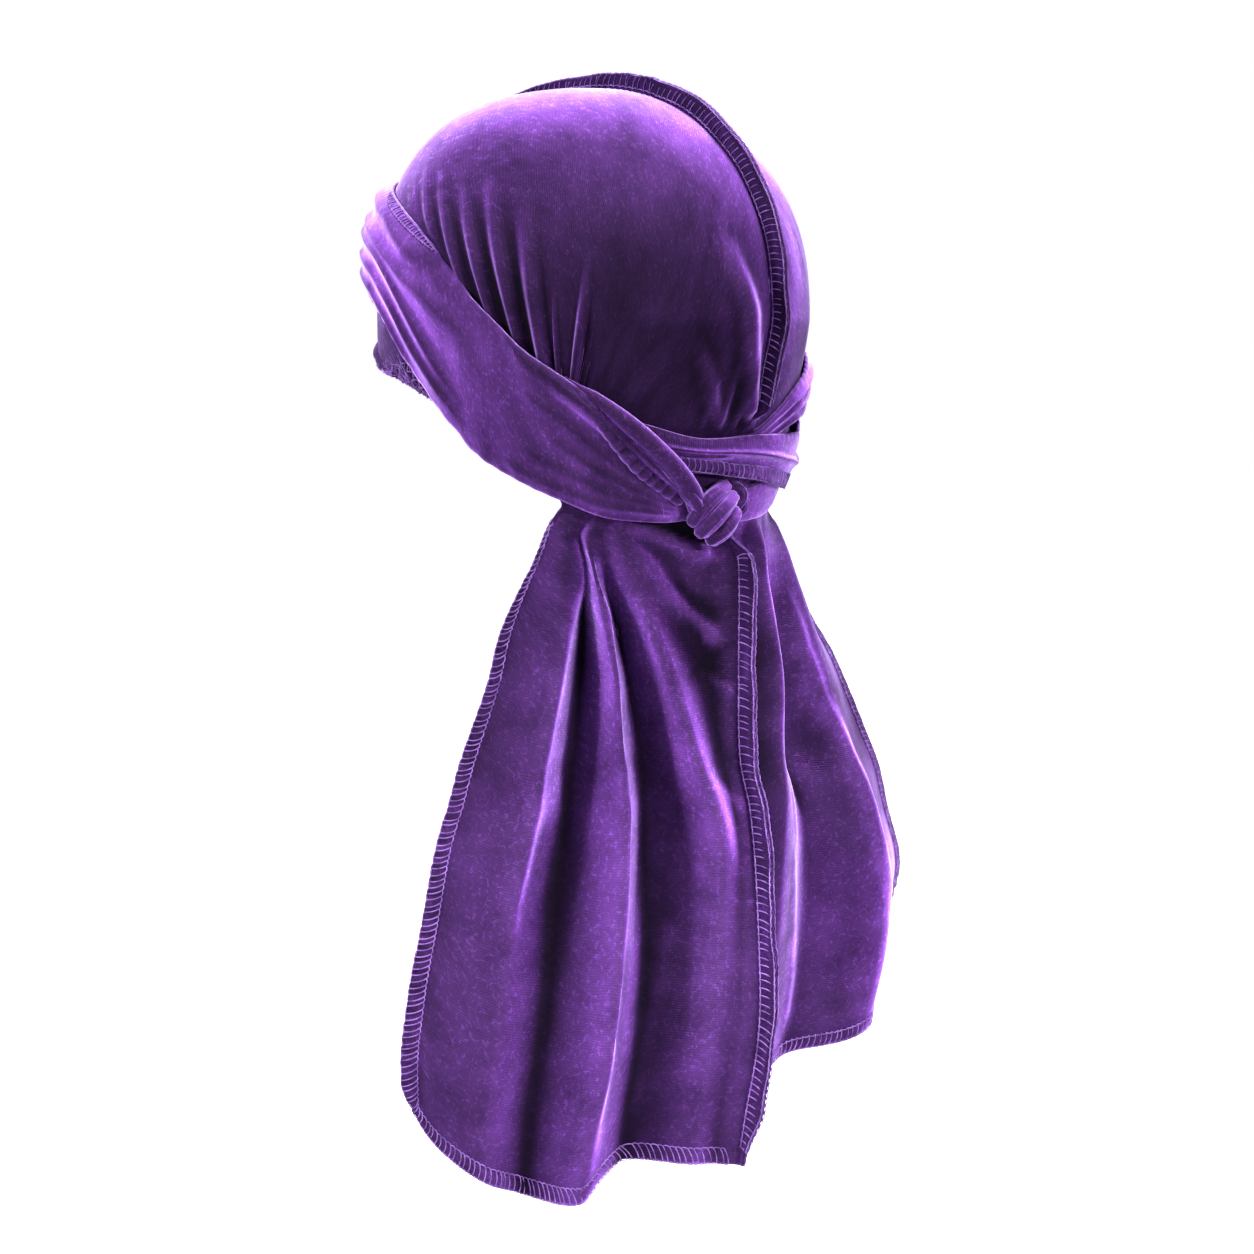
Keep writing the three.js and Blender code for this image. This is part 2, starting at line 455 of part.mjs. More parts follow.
// ------------------------------------------------------------------- knot
function strand(points, radius, sides, steps) {
  const origin = seat(KNOT_AT.azimuth, KNOT_AT.z, KNOT_AT.lift);
  const n = headNormal(onHead(KNOT_AT.azimuth, KNOT_AT.z)); n.z = 0; n.normalize();
  const up = new THREE.Vector3(0, 0, 1), right = new THREE.Vector3().crossVectors(up, n);
  const curve = new THREE.CatmullRomCurve3(points.map(([r, u, o]) =>
    origin.clone().addScaledVector(right, r).addScaledVector(up, u).addScaledVector(n, o)), false, 'centripetal');
  const pos = [], tri = [], L = curve.getLength();
  // rounded ends: rings close in over the last radius of the curve
  const ring = (s) => {
    const d = Math.min(s, L - s) / radius;
    return d >= 1 ? radius : radius * Math.sqrt(Math.max(0.0, 1 - (1 - d) * (1 - d)));
  };
  const stops = [0.08, 0.35, 0.75].map((v) => v * radius);
  const list = [...stops];
  for (let i = 1; i < steps; i++) list.push(mix(radius, L - radius, i / steps));
  list.push(...stops.map((v) => L - v).reverse());
  for (const s of list) {
    const c = curve.getPointAt(s / L), d = curve.getTangentAt(s / L);
    const e1 = new THREE.Vector3().crossVectors(d, n).normalize(), e2 = new THREE.Vector3().crossVectors(e1, d).normalize();
    for (let j = 0; j < sides; j++) {
      const v = (j / sides) * 2 * Math.PI;
      const q = c.clone().addScaledVector(e1, ring(s) * Math.cos(v)).addScaledVector(e2, ring(s) * Math.sin(v));
      pos.push(q.x, q.y, q.z);
    }
  }
  const m = list.length;
  for (let i = 0; i + 1 < m; i++) for (let j = 0; j < sides; j++) {
    const a = i * sides + j, b = i * sides + (j + 1) % sides, c = a + sides, d = b + sides;
    tri.push(a, d, b, a, c, d);
  }
  for (const [s, i, turned] of [[0, 0, false], [1, m - 1, true]]) {
    const c = curve.getPointAt(s); pos.push(c.x, c.y, c.z);
    const id = pos.length / 3 - 1;
    for (let j = 0; j < sides; j++) {
      const a = i * sides + j, b = i * sides + (j + 1) % sides;
      if (turned) tri.push(b, a, id); else tri.push(a, b, id);
    }
  }
  const g = new THREE.BufferGeometry();
  g.setAttribute('position', new THREE.BufferAttribute(new Float32Array(pos), 3));
  g.setIndex(tri);
  return g;
}
function toSolid(geometry) {
  const g = mergeVertices(geometry, 1e-4);
  return new wasm.Manifold(new wasm.Mesh({ numProp: 3, vertProperties: g.attributes.position.array, triVerts: new Uint32Array(g.index.array) }));
}
function fromSolid(solid) {
  const m = solid.getMesh(), g = new THREE.BufferGeometry();
  g.setAttribute('position', new THREE.BufferAttribute(new Float32Array(m.vertProperties), 3));
  g.setIndex(Array.from(m.triVerts));
  return g;
}
function knot() {
  let all = null;
  for (const [p0, p1, p2, r] of KNOT_STRANDS) {
    const s = toSolid(strand([p0, p1, p2], r, 10, 6));
    all = all ? all.add(s) : s;
  }
  return fromSolid(all);
}

// ----------------------------------------------------------------- assembly
const cloth = (name) => {
  const m = new THREE.MeshStandardMaterial({ color: COLOUR, roughness: ROUGHNESS, metalness: 0 });
  m.name = `${name}_velvet`;
  return m;
};
const group = new THREE.Group();
const add = (name, geometry) => {
  const mesh = new THREE.Mesh(geometry, cloth(name));
  mesh.name = name;
  group.add(mesh);
};
const steps = (from, to, count) => Array.from({ length: count + 1 }, (_, i) => mix(from, to, i / count));

// seam angles of the rows: the left cap has one at each gather and dip
const leftCapRows = [5, 8, 15, 25, 35, 44, 52, 57, 59.3, 61, 62.5, 64, 66, 68, 70.7, 73.5, 76.5, 80, 83, 87, 93, 99,
  103, 107, 114, 124, 135, 146, 157, 168, 179, 190, 198, 203, 209, 216];
const leftCapColumns = [0.03, 0.09, 0.16, 0.24, 0.33, 0.42, 0.51, 0.6, 0.68, 0.75, 0.82, 0.9, 1];
const rightCapRows = [5, 8, 16, 27, 38, 48, 58, 68, 79, 91, 103, 115, 127, 140, 153, 166, 179, 190, 198, 203, 216];
const rightCapColumns = [0.03, 0.1, ...steps(0.2, 1, 8)];
const leftCapeRows = [0.02, 0.045, 0.075, 0.1, 0.13, ...steps(0.17, 1, 14)];
const leftCapeColumns = [0.03, 0.07, 0.11, 0.15, 0.19, 0.23, 0.27, 0.31, 0.35, 0.39, 0.43, 0.46, 0.49, 0.53, 0.57,
  0.61, 0.65, 0.69, 0.73, 0.76, 0.79, 0.85, 0.91, 0.955, 0.965, 1];
const rightCapeRows = [0.02, 0.045, 0.075, 0.1, 0.13, ...steps(0.18, 1, 11)];
const rightCapeColumns = [0.04, 0.08, 0.12, 0.16, 0.2, 0.25, 0.31, 0.37, 0.42, 0.5, 0.58, 0.66, 0.74, 0.82, 0.9, 0.955, 0.965, 1];

add('left_panel', panel(1, leftCapRows, leftCapColumns, leftCapeRows, leftCapeColumns));
add('right_panel', panel(-1, rightCapRows, rightCapColumns, rightCapeRows, rightCapeColumns));

const leftStops = [...steps(50, -215, 24), ...steps(-224, -346, 15)];
const wideColumns = [0, 0.04, 0.12, 0.21, 0.3, 0.38, 0.46, 0.54, 0.62, 0.7, 0.79, 0.88, 0.96, 1];
const plainColumns = [0, 0.05, 0.22, 0.36, 0.48, 0.6, 0.79, 0.96, 1];
add('left_tie', tie(LEFT_TIE, LEFT_CREASES, leftStops, (a) => (a < -218 ? wideColumns : plainColumns), -1));

const rightStops = [...steps(-92, -8, 10), ...steps(2, 361, 35)];
const rollColumns = [0, 0.06, 0.17, 0.28, 0.34, 0.42, 0.5, 0.58, 0.66, 0.72, 0.83, 0.94, 1];
const flatColumns = [0, 0.33, 0.66, 1];
add('right_tie', tie(RIGHT_TIE, RIGHT_CREASES, rightStops, (a) => (a < -4 ? rollColumns : flatColumns), 1));

add('knot', knot());

export default group;
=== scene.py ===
import math

import bpy
import numpy as np
from mathutils import Matrix, Vector


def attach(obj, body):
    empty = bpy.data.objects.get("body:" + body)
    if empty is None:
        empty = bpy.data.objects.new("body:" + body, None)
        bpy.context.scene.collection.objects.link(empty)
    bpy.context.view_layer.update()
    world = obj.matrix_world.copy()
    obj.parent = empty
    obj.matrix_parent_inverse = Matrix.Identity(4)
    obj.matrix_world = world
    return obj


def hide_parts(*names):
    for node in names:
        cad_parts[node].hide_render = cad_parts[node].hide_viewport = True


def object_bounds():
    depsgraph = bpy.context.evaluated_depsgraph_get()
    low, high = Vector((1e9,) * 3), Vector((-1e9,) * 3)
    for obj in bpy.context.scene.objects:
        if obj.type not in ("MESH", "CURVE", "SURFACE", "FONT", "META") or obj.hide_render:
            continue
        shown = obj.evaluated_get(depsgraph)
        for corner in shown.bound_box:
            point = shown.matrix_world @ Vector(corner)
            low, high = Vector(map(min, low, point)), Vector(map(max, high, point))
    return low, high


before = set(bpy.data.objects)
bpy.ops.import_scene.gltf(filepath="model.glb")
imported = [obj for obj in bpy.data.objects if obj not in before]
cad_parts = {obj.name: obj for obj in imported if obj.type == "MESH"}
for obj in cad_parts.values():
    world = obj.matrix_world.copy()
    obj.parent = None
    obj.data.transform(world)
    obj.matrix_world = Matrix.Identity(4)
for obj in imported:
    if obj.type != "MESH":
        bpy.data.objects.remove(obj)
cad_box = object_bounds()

# ---------------------------------------------------------------------------
# The studio. A pale floor below the durag, which is held up at its crown as a
# head holds it, and soft lamps: one above and behind that catches the crown,
# one in front on the left, and two weak, narrow ones on the cape.
# ---------------------------------------------------------------------------
scene = bpy.context.scene
scene.view_settings.view_transform = "Standard"


def add_node(tree, kind, inputs, **settings):
    """A node with its settings; each input is given a value, or joined to a socket of another node."""
    node = tree.nodes.new(kind)
    for label, value in settings.items():
        setattr(node, label, value)
    for label, value in inputs.items():
        if isinstance(value, bpy.types.NodeSocket):
            tree.links.new(value, node.inputs[label])
        else:
            node.inputs[label].default_value = value
    return node


FLOOR_BELOW, FLOOR_REACH = 0.13, 9     # m
floor_z = cad_box[0][2] - FLOOR_BELOW
corners = [(x * FLOOR_REACH, y * FLOOR_REACH, floor_z) for x, y in ((-1, -1), (1, -1), (1, 1), (-1, 1))]
floor_mesh = bpy.data.meshes.new("floor")
floor_mesh.from_pydata(corners, [], [(0, 1, 2, 3)])
floor = bpy.data.objects.new("floor", floor_mesh)
scene.collection.objects.link(floor)
paper = bpy.data.materials.new("white_paper")
paper.use_nodes = True
paper_shader = paper.node_tree.nodes["Principled BSDF"]
paper_shader.inputs["Base Color"].default_value = (0.6, 0.6, 0.6, 1)
paper_shader.inputs["Roughness"].default_value = 0.9
paper_shader.inputs["Specular IOR Level"].default_value = 0.1
paper_shader.inputs["Emission Color"].default_value = (1, 1, 1, 1)
paper_path = add_node(paper.node_tree, "ShaderNodeLightPath", {})
paper_glow = add_node(paper.node_tree, "ShaderNodeMapRange", {
    "Value": paper_path.outputs["Is Camera Ray"], "To Min": 0.08, "To Max": 1.0})
paper.node_tree.links.new(paper_glow.outputs["Result"], paper_shader.inputs["Emission Strength"])
floor_mesh.materials.append(paper)

world = bpy.data.worlds.new("studio")
scene.world = world
world.use_nodes = True
sky = world.node_tree
sky.nodes["Background"].inputs["Color"].default_value = (1, 1, 1, 1)
sky.nodes["Background"].inputs["Strength"].default_value = 0.13
seen = add_node(sky, "ShaderNodeBackground", {"Color": (1, 1, 1, 1), "Strength": 1.0})
light_path = add_node(sky, "ShaderNodeLightPath", {})
either = add_node(sky, "ShaderNodeMixShader", {
    "Fac": light_path.outputs["Is Camera Ray"], 1: sky.nodes["Background"].outputs["Background"],
    2: seen.outputs["Background"]})
sky.links.new(either.outputs["Shader"], sky.nodes["World Output"].inputs["Surface"])


def towards(azimuth, elevation):
    """The direction of a view from its azimuth and elevation in degrees."""
    a, e = math.radians(azimuth), math.radians(elevation)
    return Vector((math.sin(a) * math.cos(e), -math.cos(a) * math.cos(e), math.sin(e)))


def lamp(name, azimuth, elevation, distance, size, watts, aim, spread=180):
    """A square soft lamp; azimuth and elevation are given as for a view."""
    data = bpy.data.lights.new(name, "AREA")
    data.spread = math.radians(spread)
    data.shape = "SQUARE"
    data.size = size
    data.energy = watts
    thing = bpy.data.objects.new(name, data)
    away = towards(azimuth, elevation)
    thing.location = Vector(aim) + away * distance
    thing.rotation_euler = away.to_track_quat("Z", "Y").to_euler()
    scene.collection.objects.link(thing)


lamp("crown_lamp", 190, 72, 1.5, 0.5, 84, (0, 0.02, -0.06))
lamp("front_lamp", 66, 30, 1.6, 0.45, 40, (0, 0, -0.15))
lamp("cape_lamp", 168, 14, 1.7, 0.3, 1.0, (0.03, 0.09, -0.36), spread=16)
lamp("cape_side_lamp", 70, 14, 1.7, 0.3, 0.45, (0.05, 0.06, -0.36), spread=16)

SENSOR_WIDTH, LENS = 36.0, 74.18     # mm
CAMERA_SIDE, CAMERA_DISTANCE, CAMERA_AIM = towards(132, 6), 1.15, Vector((0, 0.0266, -0.2353))
camera_data = bpy.data.cameras.new("camera")
camera_data.sensor_fit = "HORIZONTAL"
camera_data.sensor_width = SENSOR_WIDTH
camera_data.lens = LENS
camera = bpy.data.objects.new("camera", camera_data)
camera.location = CAMERA_AIM + CAMERA_SIDE * CAMERA_DISTANCE
camera.rotation_euler = CAMERA_SIDE.to_track_quat("Z", "Y").to_euler()
scene.collection.objects.link(camera)
scene.camera = camera

# ---------------------------------------------------------------------------
# The two panels. Each is one piece of stretch velvet from the brow over the
# crown and nape to the bottom of the cape; their long edges are turned up
# side by side and overlocked, which makes the raised seam down the middle.
# ---------------------------------------------------------------------------
WIDEST = -99.0      # level of the largest circumference of the head, in mm
NECK = -215.0
ROUNDNESS = 2.15
CLOTH = 1.5
SEAM_GAP = 0.02
CENTRE = np.array([0.0, 6.0, -105.0])


def ease(a, b, x):
    """Smooth step from 0 at a to 1 at b."""
    t = np.clip((x - a) / (b - a), 0, 1)
    return t * t * (3 - 2 * t)


def along(table, column, at):
    """Smooth curve through the rows of a table, one column against the first."""
    rows = np.array(table, float)
    if rows[0, 0] > rows[-1, 0]:
        rows = rows[::-1]
    x, y = rows[:, 0], rows[:, column]
    slope = np.empty_like(y)
    slope[1:-1] = (y[2:] - y[:-2]) / (x[2:] - x[:-2])
    slope[0], slope[-1] = (y[1] - y[0]) / (x[1] - x[0]), (y[-1] - y[-2]) / (x[-1] - x[-2])
    at = np.clip(at, x[0], x[-1])
    i = np.clip(np.searchsorted(x, at, side="right") - 1, 0, len(x) - 2)
    h = x[i + 1] - x[i]
    t = (at - x[i]) / h
    return ((2 * t**3 - 3 * t**2 + 1) * y[i] + (t**3 - 2 * t**2 + t) * h * slope[i]
            + (3 * t**2 - 2 * t**3) * y[i + 1] + (t**3 - t**2) * h * slope[i + 1])


def head_section(z):
    """Half width, back and front of the head at a level."""
    up = np.clip((z - WIDEST) / -WIDEST, 0, 1)
    down = np.clip((WIDEST - z) / (WIDEST - NECK), 0, 1.3)
    sizes = []
    for top, low_end, power_up, power_down in ((80, 60, 2.55, 2), (107, 75, 2.2, 1.12), (96, 75, 2.7, 2)):
        above = top * np.maximum(0, 1 - up**power_up) ** (1 / power_up)
        below = top - (top - low_end) * down**power_down
        sizes.append(np.where(z > WIDEST, above, below))
    return sizes


def on_head(azimuth, z):
    """The point of the head at an azimuth and a level."""
    azimuth, z = np.broadcast_arrays(np.asarray(azimuth, float), np.asarray(z, float))
    a = np.radians(azimuth)
    width, back, front = head_section(z)
    s, c = np.sin(a), np.cos(a)
    x = width * np.sign(s) * np.abs(s) ** (2 / ROUNDNESS)
    y = np.where(c > 0, back, front) * np.sign(c) * np.abs(c) ** (2 / ROUNDNESS)
    return np.stack([x, y, z], -1)


def head_value(p):
    """Below nothing inside the head, above nothing outside it."""
    width, back, front = head_section(p[..., 2])
    depth = np.where(p[..., 1] > 0, back, front)
    x, y = np.abs(p[..., 0]) / (width + 1e-6), np.abs(p[..., 1]) / (depth + 1e-6)
    return x**ROUNDNESS + y**ROUNDNESS - 1


def head_normal(p):
    """The way out of the head."""
    step = 0.05
    g = np.stack([head_value(p + step * e) - head_value(p - step * e) for e in np.eye(3)], -1)
    return g / np.linalg.norm(g, axis=-1, keepdims=True)


def seat(azimuth, z, lift):
    """The point at a distance from the head."""
    p = on_head(azimuth, z)
    return p + head_normal(p) * np.asarray(lift)[..., None]


def ray_to_head(direction):
    """Where a ray from the centre of the head meets it."""
    near, far = np.full(direction.shape[:-1], 20.0), np.full(direction.shape[:-1], 200.0)
    for _ in range(40):
        m = (near + far) / 2
        p = CENTRE + direction * m[..., None]
        inside = (p[..., 2] < -0.02) & (head_value(p) < 0)
        near, far = np.where(inside, m, near), np.where(inside, far, m)
    return CENTRE + direction * near[..., None]


def rumple(u, v, seed):
    """Smooth uneven waves between -1 and 1 of unit size."""
    table = np.random.default_rng(seed).uniform(-1, 1, (64, 64))
    u, v = np.broadcast_arrays(np.asarray(u, float) + 20, np.asarray(v, float) + 20)
    i, j = np.floor(u).astype(int), np.floor(v).astype(int)
    f, g = u - i, v - j
    f, g = f * f * (3 - 2 * f), g * g * (3 - 2 * g)
    i, j = i % 63, j % 63
    return ((table[i, j] * (1 - f) + table[i + 1, j] * f) * (1 - g)
            + (table[i, j + 1] * (1 - f) + table[i + 1, j + 1] * f) * g)


# seam angle up from the forehead, then azimuth and height of the outer edge
CAP_EDGE = [
    [5, 112, -123], [20, 101, -130], [35, 90, -137], [50, 80, -142], [61, 72, -146], [68, 65.5, -150],
    [80, 59.5, -153], [103, 58.5, -156], [130, 59.5, -158], [160, 61, -161], [190, 62, -165], [216, 63, -169],
]
# gathers above the left ear: seam angle, where each begins and is full on the
# way to the outer edge, height, half width in degrees
CAP_GATHERS = [
    [53, 0.20, 0.40, 1.4, 0.8], [57.5, 0.26, 0.5, 1.5, 0.8], [61, 0.26, 0.52, 2.6, 0.95],
    [64.3, 0.30, 0.56, 3.2, 0.95], [68.3, 0.34, 0.60, 3.7, 1.15], [73.3, 0.36, 0.62, 3.7, 1.4],
    [80, 0.42, 0.70, 4.8, 2.2], [87, 0.58, 0.80, 1.6, 1.2], [100.5, 0.50, 0.78, 3.8, 2.0],
    [108, 0.64, 0.86, 1.2, 1.4], [118, 0.66, 0.9, 1.0, 1.6], [132, 0.7, 0.92, 0.8, 1.6],
]
# slack cloth at the back: azimuth and height of three points, height, half width
CAP_SLACK = [
    [17, -60, 9, -96, 3, -136, 4.4, 5.5],
    [26, -104, 20, -122, 14, -142, 1.6, 4.5],
]
# height of the raised seam by seam angle
CAP_FIN = [[5, 0.2], [43, 0.2], [52, 2.5], [70, 4.2], [85, 5.6], [105, 7], [125, 7.8], [190, 7.8], [198, 7],
           [203, 0.2], [216, 0.2]]
# upper edge of the wide tie, which presses the gathers flat: azimuth, height
TIE_UPPER = [
    [-180, -38], [-210, -38], [-233, -45], [-249, -54], [-262, -66], [-271, -80], [-277, -91], [-290, -110],
    [-303, -124], [-314, -136], [-327, -152], [-334, -162], [-346, -170],
]


def cap_surface(angle, t, side):
    """Middle of the cap's cloth; angle along the seam, t from the seam (0) to the edge (1)."""
    a = np.radians(angle)
    seam = ray_to_head(np.stack([0 * a, -np.cos(a), np.sin(a)], -1))
    edge = on_head(along(CAP_EDGE, 1, angle), along(CAP_EDGE, 2, angle))
    d0, d1 = (v - CENTRE for v in (seam, edge))
    d0, d1 = (v / np.linalg.norm(v, axis=-1, keepdims=True) for v in (d0, d1))
    arc = np.arccos((d0 * d1).sum(-1, keepdims=True))
    tt = t[..., None]
    d = d0 * np.sin((1 - tt) * arc) / np.sin(arc) + d1 * np.sin(tt * arc) / np.sin(arc)
    p = ray_to_head(d / np.linalg.norm(d, axis=-1, keepdims=True))
    lift = 2.5 * (1 - ease(5, 8, angle)) + 0 * t
    if side > 0:
        soft = 0
        for a0, z0, a1, z1, a2, z2, height, wide in CAP_SLACK:
            line = on_head([a0, a1, a2], [z0, z1, z2])
            best, place = np.full(np.broadcast(t, angle).shape, 1e9), 0
            for i in range(2):
                run = line[i + 1] - line[i]
                s = np.clip(((p - line[i]) @ run) / (run @ run), 0, 1)
                gap = np.linalg.norm(line[i] + s[..., None] * run - p, axis=-1)
                place = np.where(gap < best, (i + s) / 2, place)
                best = np.minimum(best, gap)
            soft = soft + height * np.exp(-1.4 * (best / wide) ** 2) * ease(0, 0.45, place)
        lift = lift + soft * ease(-146, -138, p[..., 2])
        folds = 0
        for ridge, begin, full, height, wide in CAP_GATHERS:
            d = (angle - ridge) / wide
            rounded = np.exp(-np.abs(d) ** np.where(d > 0, 1.5, 2.2)) - 0.16 * np.exp(-((d - 1.9) ** 2) * 1.5)
            folds = folds + height * rounded * ease(begin, full, t)
        upper = along(TIE_UPPER, 1, np.degrees(np.arctan2(p[..., 0], p[..., 1])) - 360)
        lift = lift + folds * ease(upper - 4, upper + 4, p[..., 2])
        # little puckers above the band, beside the seam
        for place, height in ((0.36, 0.9), (0.24, 1.2), (0.13, 1.1)):
            pucker = np.exp(-(((t - place - (angle - 195) * 0.004) / 0.022) ** 2))
            lift = lift + height * ease(170, 200, angle) * pucker * ease(-147, -141, p[..., 2])
    ruffle = ease(0.70, 0.84, t) * (1 - ease(56, 64, angle))
    crinkle = 1.2 * np.sin(angle * 2.3 + 1.6 * np.sin(angle * 0.7) + 9 * t)
    crinkle = crinkle + 0.6 * np.sin(angle * 4.3 - 30 * t)
    lift = lift + ruffle * (1.5 + crinkle)
    lift = np.maximum(lift + 0.28 * rumple(angle / 14, t * 5 + side, 3) * ease(8, 20, angle), 0)
    # needle holes draw the cloth in beside the raised seam
    sewn = ease(48, 60, angle) * (1 - ease(198, 203, angle))
    lift = lift + 0.22 * np.sin(angle * 3.3) * np.exp(-t / 0.02) * sewn
    p = p + head_normal(p) * (lift + CLOTH / 2 + 0.05)[..., None]
    return p * [side, 1, 1]


CAPE_TOP = -172.0
CAPE_SEAM = [
    [-165, 91], [-183, 86], [-204, 89.5], [-250, 90], [-287, 91], [-310, 97], [-350, 101], [-390, 103],
    [-415, 101], [-445, 95], [-482, 89],
]
# the folds of each half: place in the cloth, then for each level how far each
# fold lies from the seam and how far it stands out or in
LEFT_CAPE = {
    "turn": 44,
    "lie": [0, 0.07, 0.15, 0.31, 0.46, 0.61, 0.76, 1],
    "out": [
        [-183, 0, 30, 50, 57, 62, 66, 71, 77], [-210, 0, 24, 45, 56, 64, 69, 78, 91],
        [-232, 0, 17, 37, 51, 60, 67, 77, 101], [-255, 0, 12, 28, 46, 55, 68, 79, 107],
        [-287, 0, 8, 19, 42, 53, 71, 85, 119], [-320, 0, 6, 14, 45, 57, 81, 98, 134],
        [-355, 0, 6, 14, 47, 60, 88, 106, 143], [-390, 0, 8, 18, 49, 65, 92, 111, 151],
        [-420, 0, 10, 20, 50, 67, 94, 113, 152], [-480, 0, 9, 19, 50, 68, 93, 110, 138],
    ],
    "deep": [
        [-183, 0, 14, 19, 15, 18, 14, 15, 12], [-210, 0, 5, 13, 7, 12, 4, 9, 2],
        [-232, 0, 0, 12, -3, 11, -4, 8, 0], [-255, 0, -1, 11, -7, 10, -8, 9, 0],
        [-287, 0, 0, 10, -10, 10, -9, 9, -1], [-320, 0, 1, 7, -11, 9, -9, 7, -2],
        [-355, 0, 1, 4, -11, 8, -8, 5, -2], [-390, 0, 1, 3, -10, 8, -7, 4, 0],
        [-420, 0, 1, 3, -9, 9, -6, 4, 2], [-480, 0, 0, 4, -8, 11, -5, 4, 3],
    ],
    "bottom": [[0, -467], [0.15, -465], [0.31, -466], [0.4, -472], [0.46, -480], [0.6, -480], [0.76, -471],
               [0.85, -463], [0.93, -450], [1, -428]],
}
RIGHT_CAPE = {
    "turn": 170,
    "lie": [0, 0.08, 0.2, 0.42, 0.74, 1],
    "out": [
        [-183, 0, 10, 20, 36, 56, 75], [-210, 0, 11, 21, 31, 60, 85], [-232, 0, 13, 25, 34, 64, 90],
        [-255, 0, 14, 28, 42, 70, 99], [-290, 0, 14, 28, 54, 84, 117], [-325, 0, 13, 26, 64, 96, 127],
        [-355, 0, 13, 26, 62, 104, 138], [-385, 0, 13, 27, 56, 99, 128], [-420, 0, 14, 29, 52, 90, 114],
        [-480, 0, 15, 30, 50, 86, 110],
    ],
    "deep": [
        [-183, 0, 0, 1, -4, -12, -30], [-210, 0, -3, 3, -7, -6, -24], [-232, 0, -4, 5, -9, 0, -15],
        [-255, 0, -5, 6, -10, 5, -5], [-290, 0, -5, 5, -11, 8, 0], [-325, 0, -6, 2, -11, 9, 0],
        [-355, 0, -8, -2, -11, 10, 0], [-385, 0, -10, -7, -12, 11, -5], [-420, 0, -12, -12, -14, 10, -8],
        [-480, 0, -14, -16, -16, 9, -10],
    ],
    "bottom": [[0, -467], [0.1, -452], [0.25, -438], [0.45, -431], [0.65, -427], [0.8, -417], [0.92, -400],
               [1, -374]],
}


# creases of each half of the cape: height, lean over towards the seam, half
# width towards the seam and towards the hem, then points of the crease, out
# from the seam and up
LEFT_CREASES_OF_CAPE = [
    [2.8, 0.3, 4.6, 9.0, (62, -178), (51, -196), (45, -214), (38.5, -231), (30.5, -251), (25, -269),
     (19, -286), (15, -305), (10, -326), (5, -350)],
    [4.6, 0.9, 2.6, 10.0, (68, -178), (65, -210), (60, -224), (56, -255), (54, -290), (58, -322),
     (60.5, -349), (64, -375), (67, -402), (66.5, -440), (66, -475)],
    [-3.2, 0.0, 4.0, 3.6, (60, -190), (57, -214), (52, -232), (48, -258), (46, -290), (49, -322),
     (52, -349), (56, -385)],
    [3.2, 0.5, 3.0, 12.0, (72, -178), (71, -209), (74, -230), (78, -253), (84, -281), (91, -303),
     (98, -324), (105, -348), (110, -385)],
    [-3.2, 0.0, 4.0, 3.4, (68.5, -186), (68.5, -212), (69, -232), (71, -255), (74, -282), (79, -305),
     (84, -330)],
    [3.4, 0.2, 3.6, 8.0, (54, -176), (44, -196), (30, -216), (16, -230), (5, -240)],
    [3.6, 0.4, 3.0, 5.0, (58, -176), (47.5, -184), (31, -190.5), (18, -196), (8, -198)],
    [-4.0, 0.0, 3.2, 3.0, (40, -178), (26, -184), (14, -189), (2, -191)],
    [1.0, 0.0, 2.6, 3.4, (18, -248), (7, -256), (0, -259)],
    [1.0, 0.0, 2.6, 3.6, (20, -291), (9, -303), (0, -309)],
    [0.6, 0.0, 3.0, 4.0, (26, -330), (12, -345), (0, -352)],
    [0.8, 0.0, 4.0, 6.0, (34, -352), (42, -386), (47, -414), (48, -455)],
]
RIGHT_CREASES_OF_CAPE = [
    [1.2, 0.2, 4.0, 5.0, (17, -180), (21, -205), (23.4, -223), (28, -243), (28, -267), (27, -291),
     (25, -330)],
    [-2.6, 0.0, 4.0, 4.0, (22, -194), (27, -223), (35, -252), (54, -294), (64, -310), (70, -330)],
    [1.6, 0.0, 3.0, 3.6, (38, -240), (41, -275), (46, -300), (52, -340)],
    [3.0, 0.0, 6.0, 4.0, (50, -212), (58, -245), (67, -267), (81, -289), (85, -301), (95, -321),
     (104, -344), (113, -372)],
    [1.0, 0.0, 4.0, 5.0, (40, -330), (46, -360), (50, -395), (52, -425)],
]


def crease_lift(creases, out, z):
    """How far creases raise the cloth, and lean it over, at a place out from the seam and at a height."""
    total, over = 0 * z, 0 * z
    for height, lean, towards_seam, towards_hem, *line in creases:
        line = np.array(line, float)
        best, way, done = np.full(z.shape, 1e9), np.zeros(z.shape), np.zeros(z.shape)
        for k in range(len(line) - 1):
            a, run = line[k], line[k + 1] - line[k]
            s = np.clip(((out - a[0]) * run[0] + (z - a[1]) * run[1]) / (run @ run), 0, 1)
            dx, dz = out - a[0] - s * run[0], z - a[1] - s * run[1]
            gap = np.hypot(dx, dz)
            near = gap < best
            way = np.where(near, run[0] * dz - run[1] * dx, way)
            done = np.where(near, (k + s) / (len(line) - 1), done)
            best = np.where(near, gap, best)
        wide = np.where(way > 0, towards_hem, towards_seam)
        raised = height * np.exp(-((best / wide) ** 1.6)) * ease(0, 0.12, done) * (1 - ease(0.8, 1, done))
        total = total + raised
        over = over + lean * raised
    return total, over


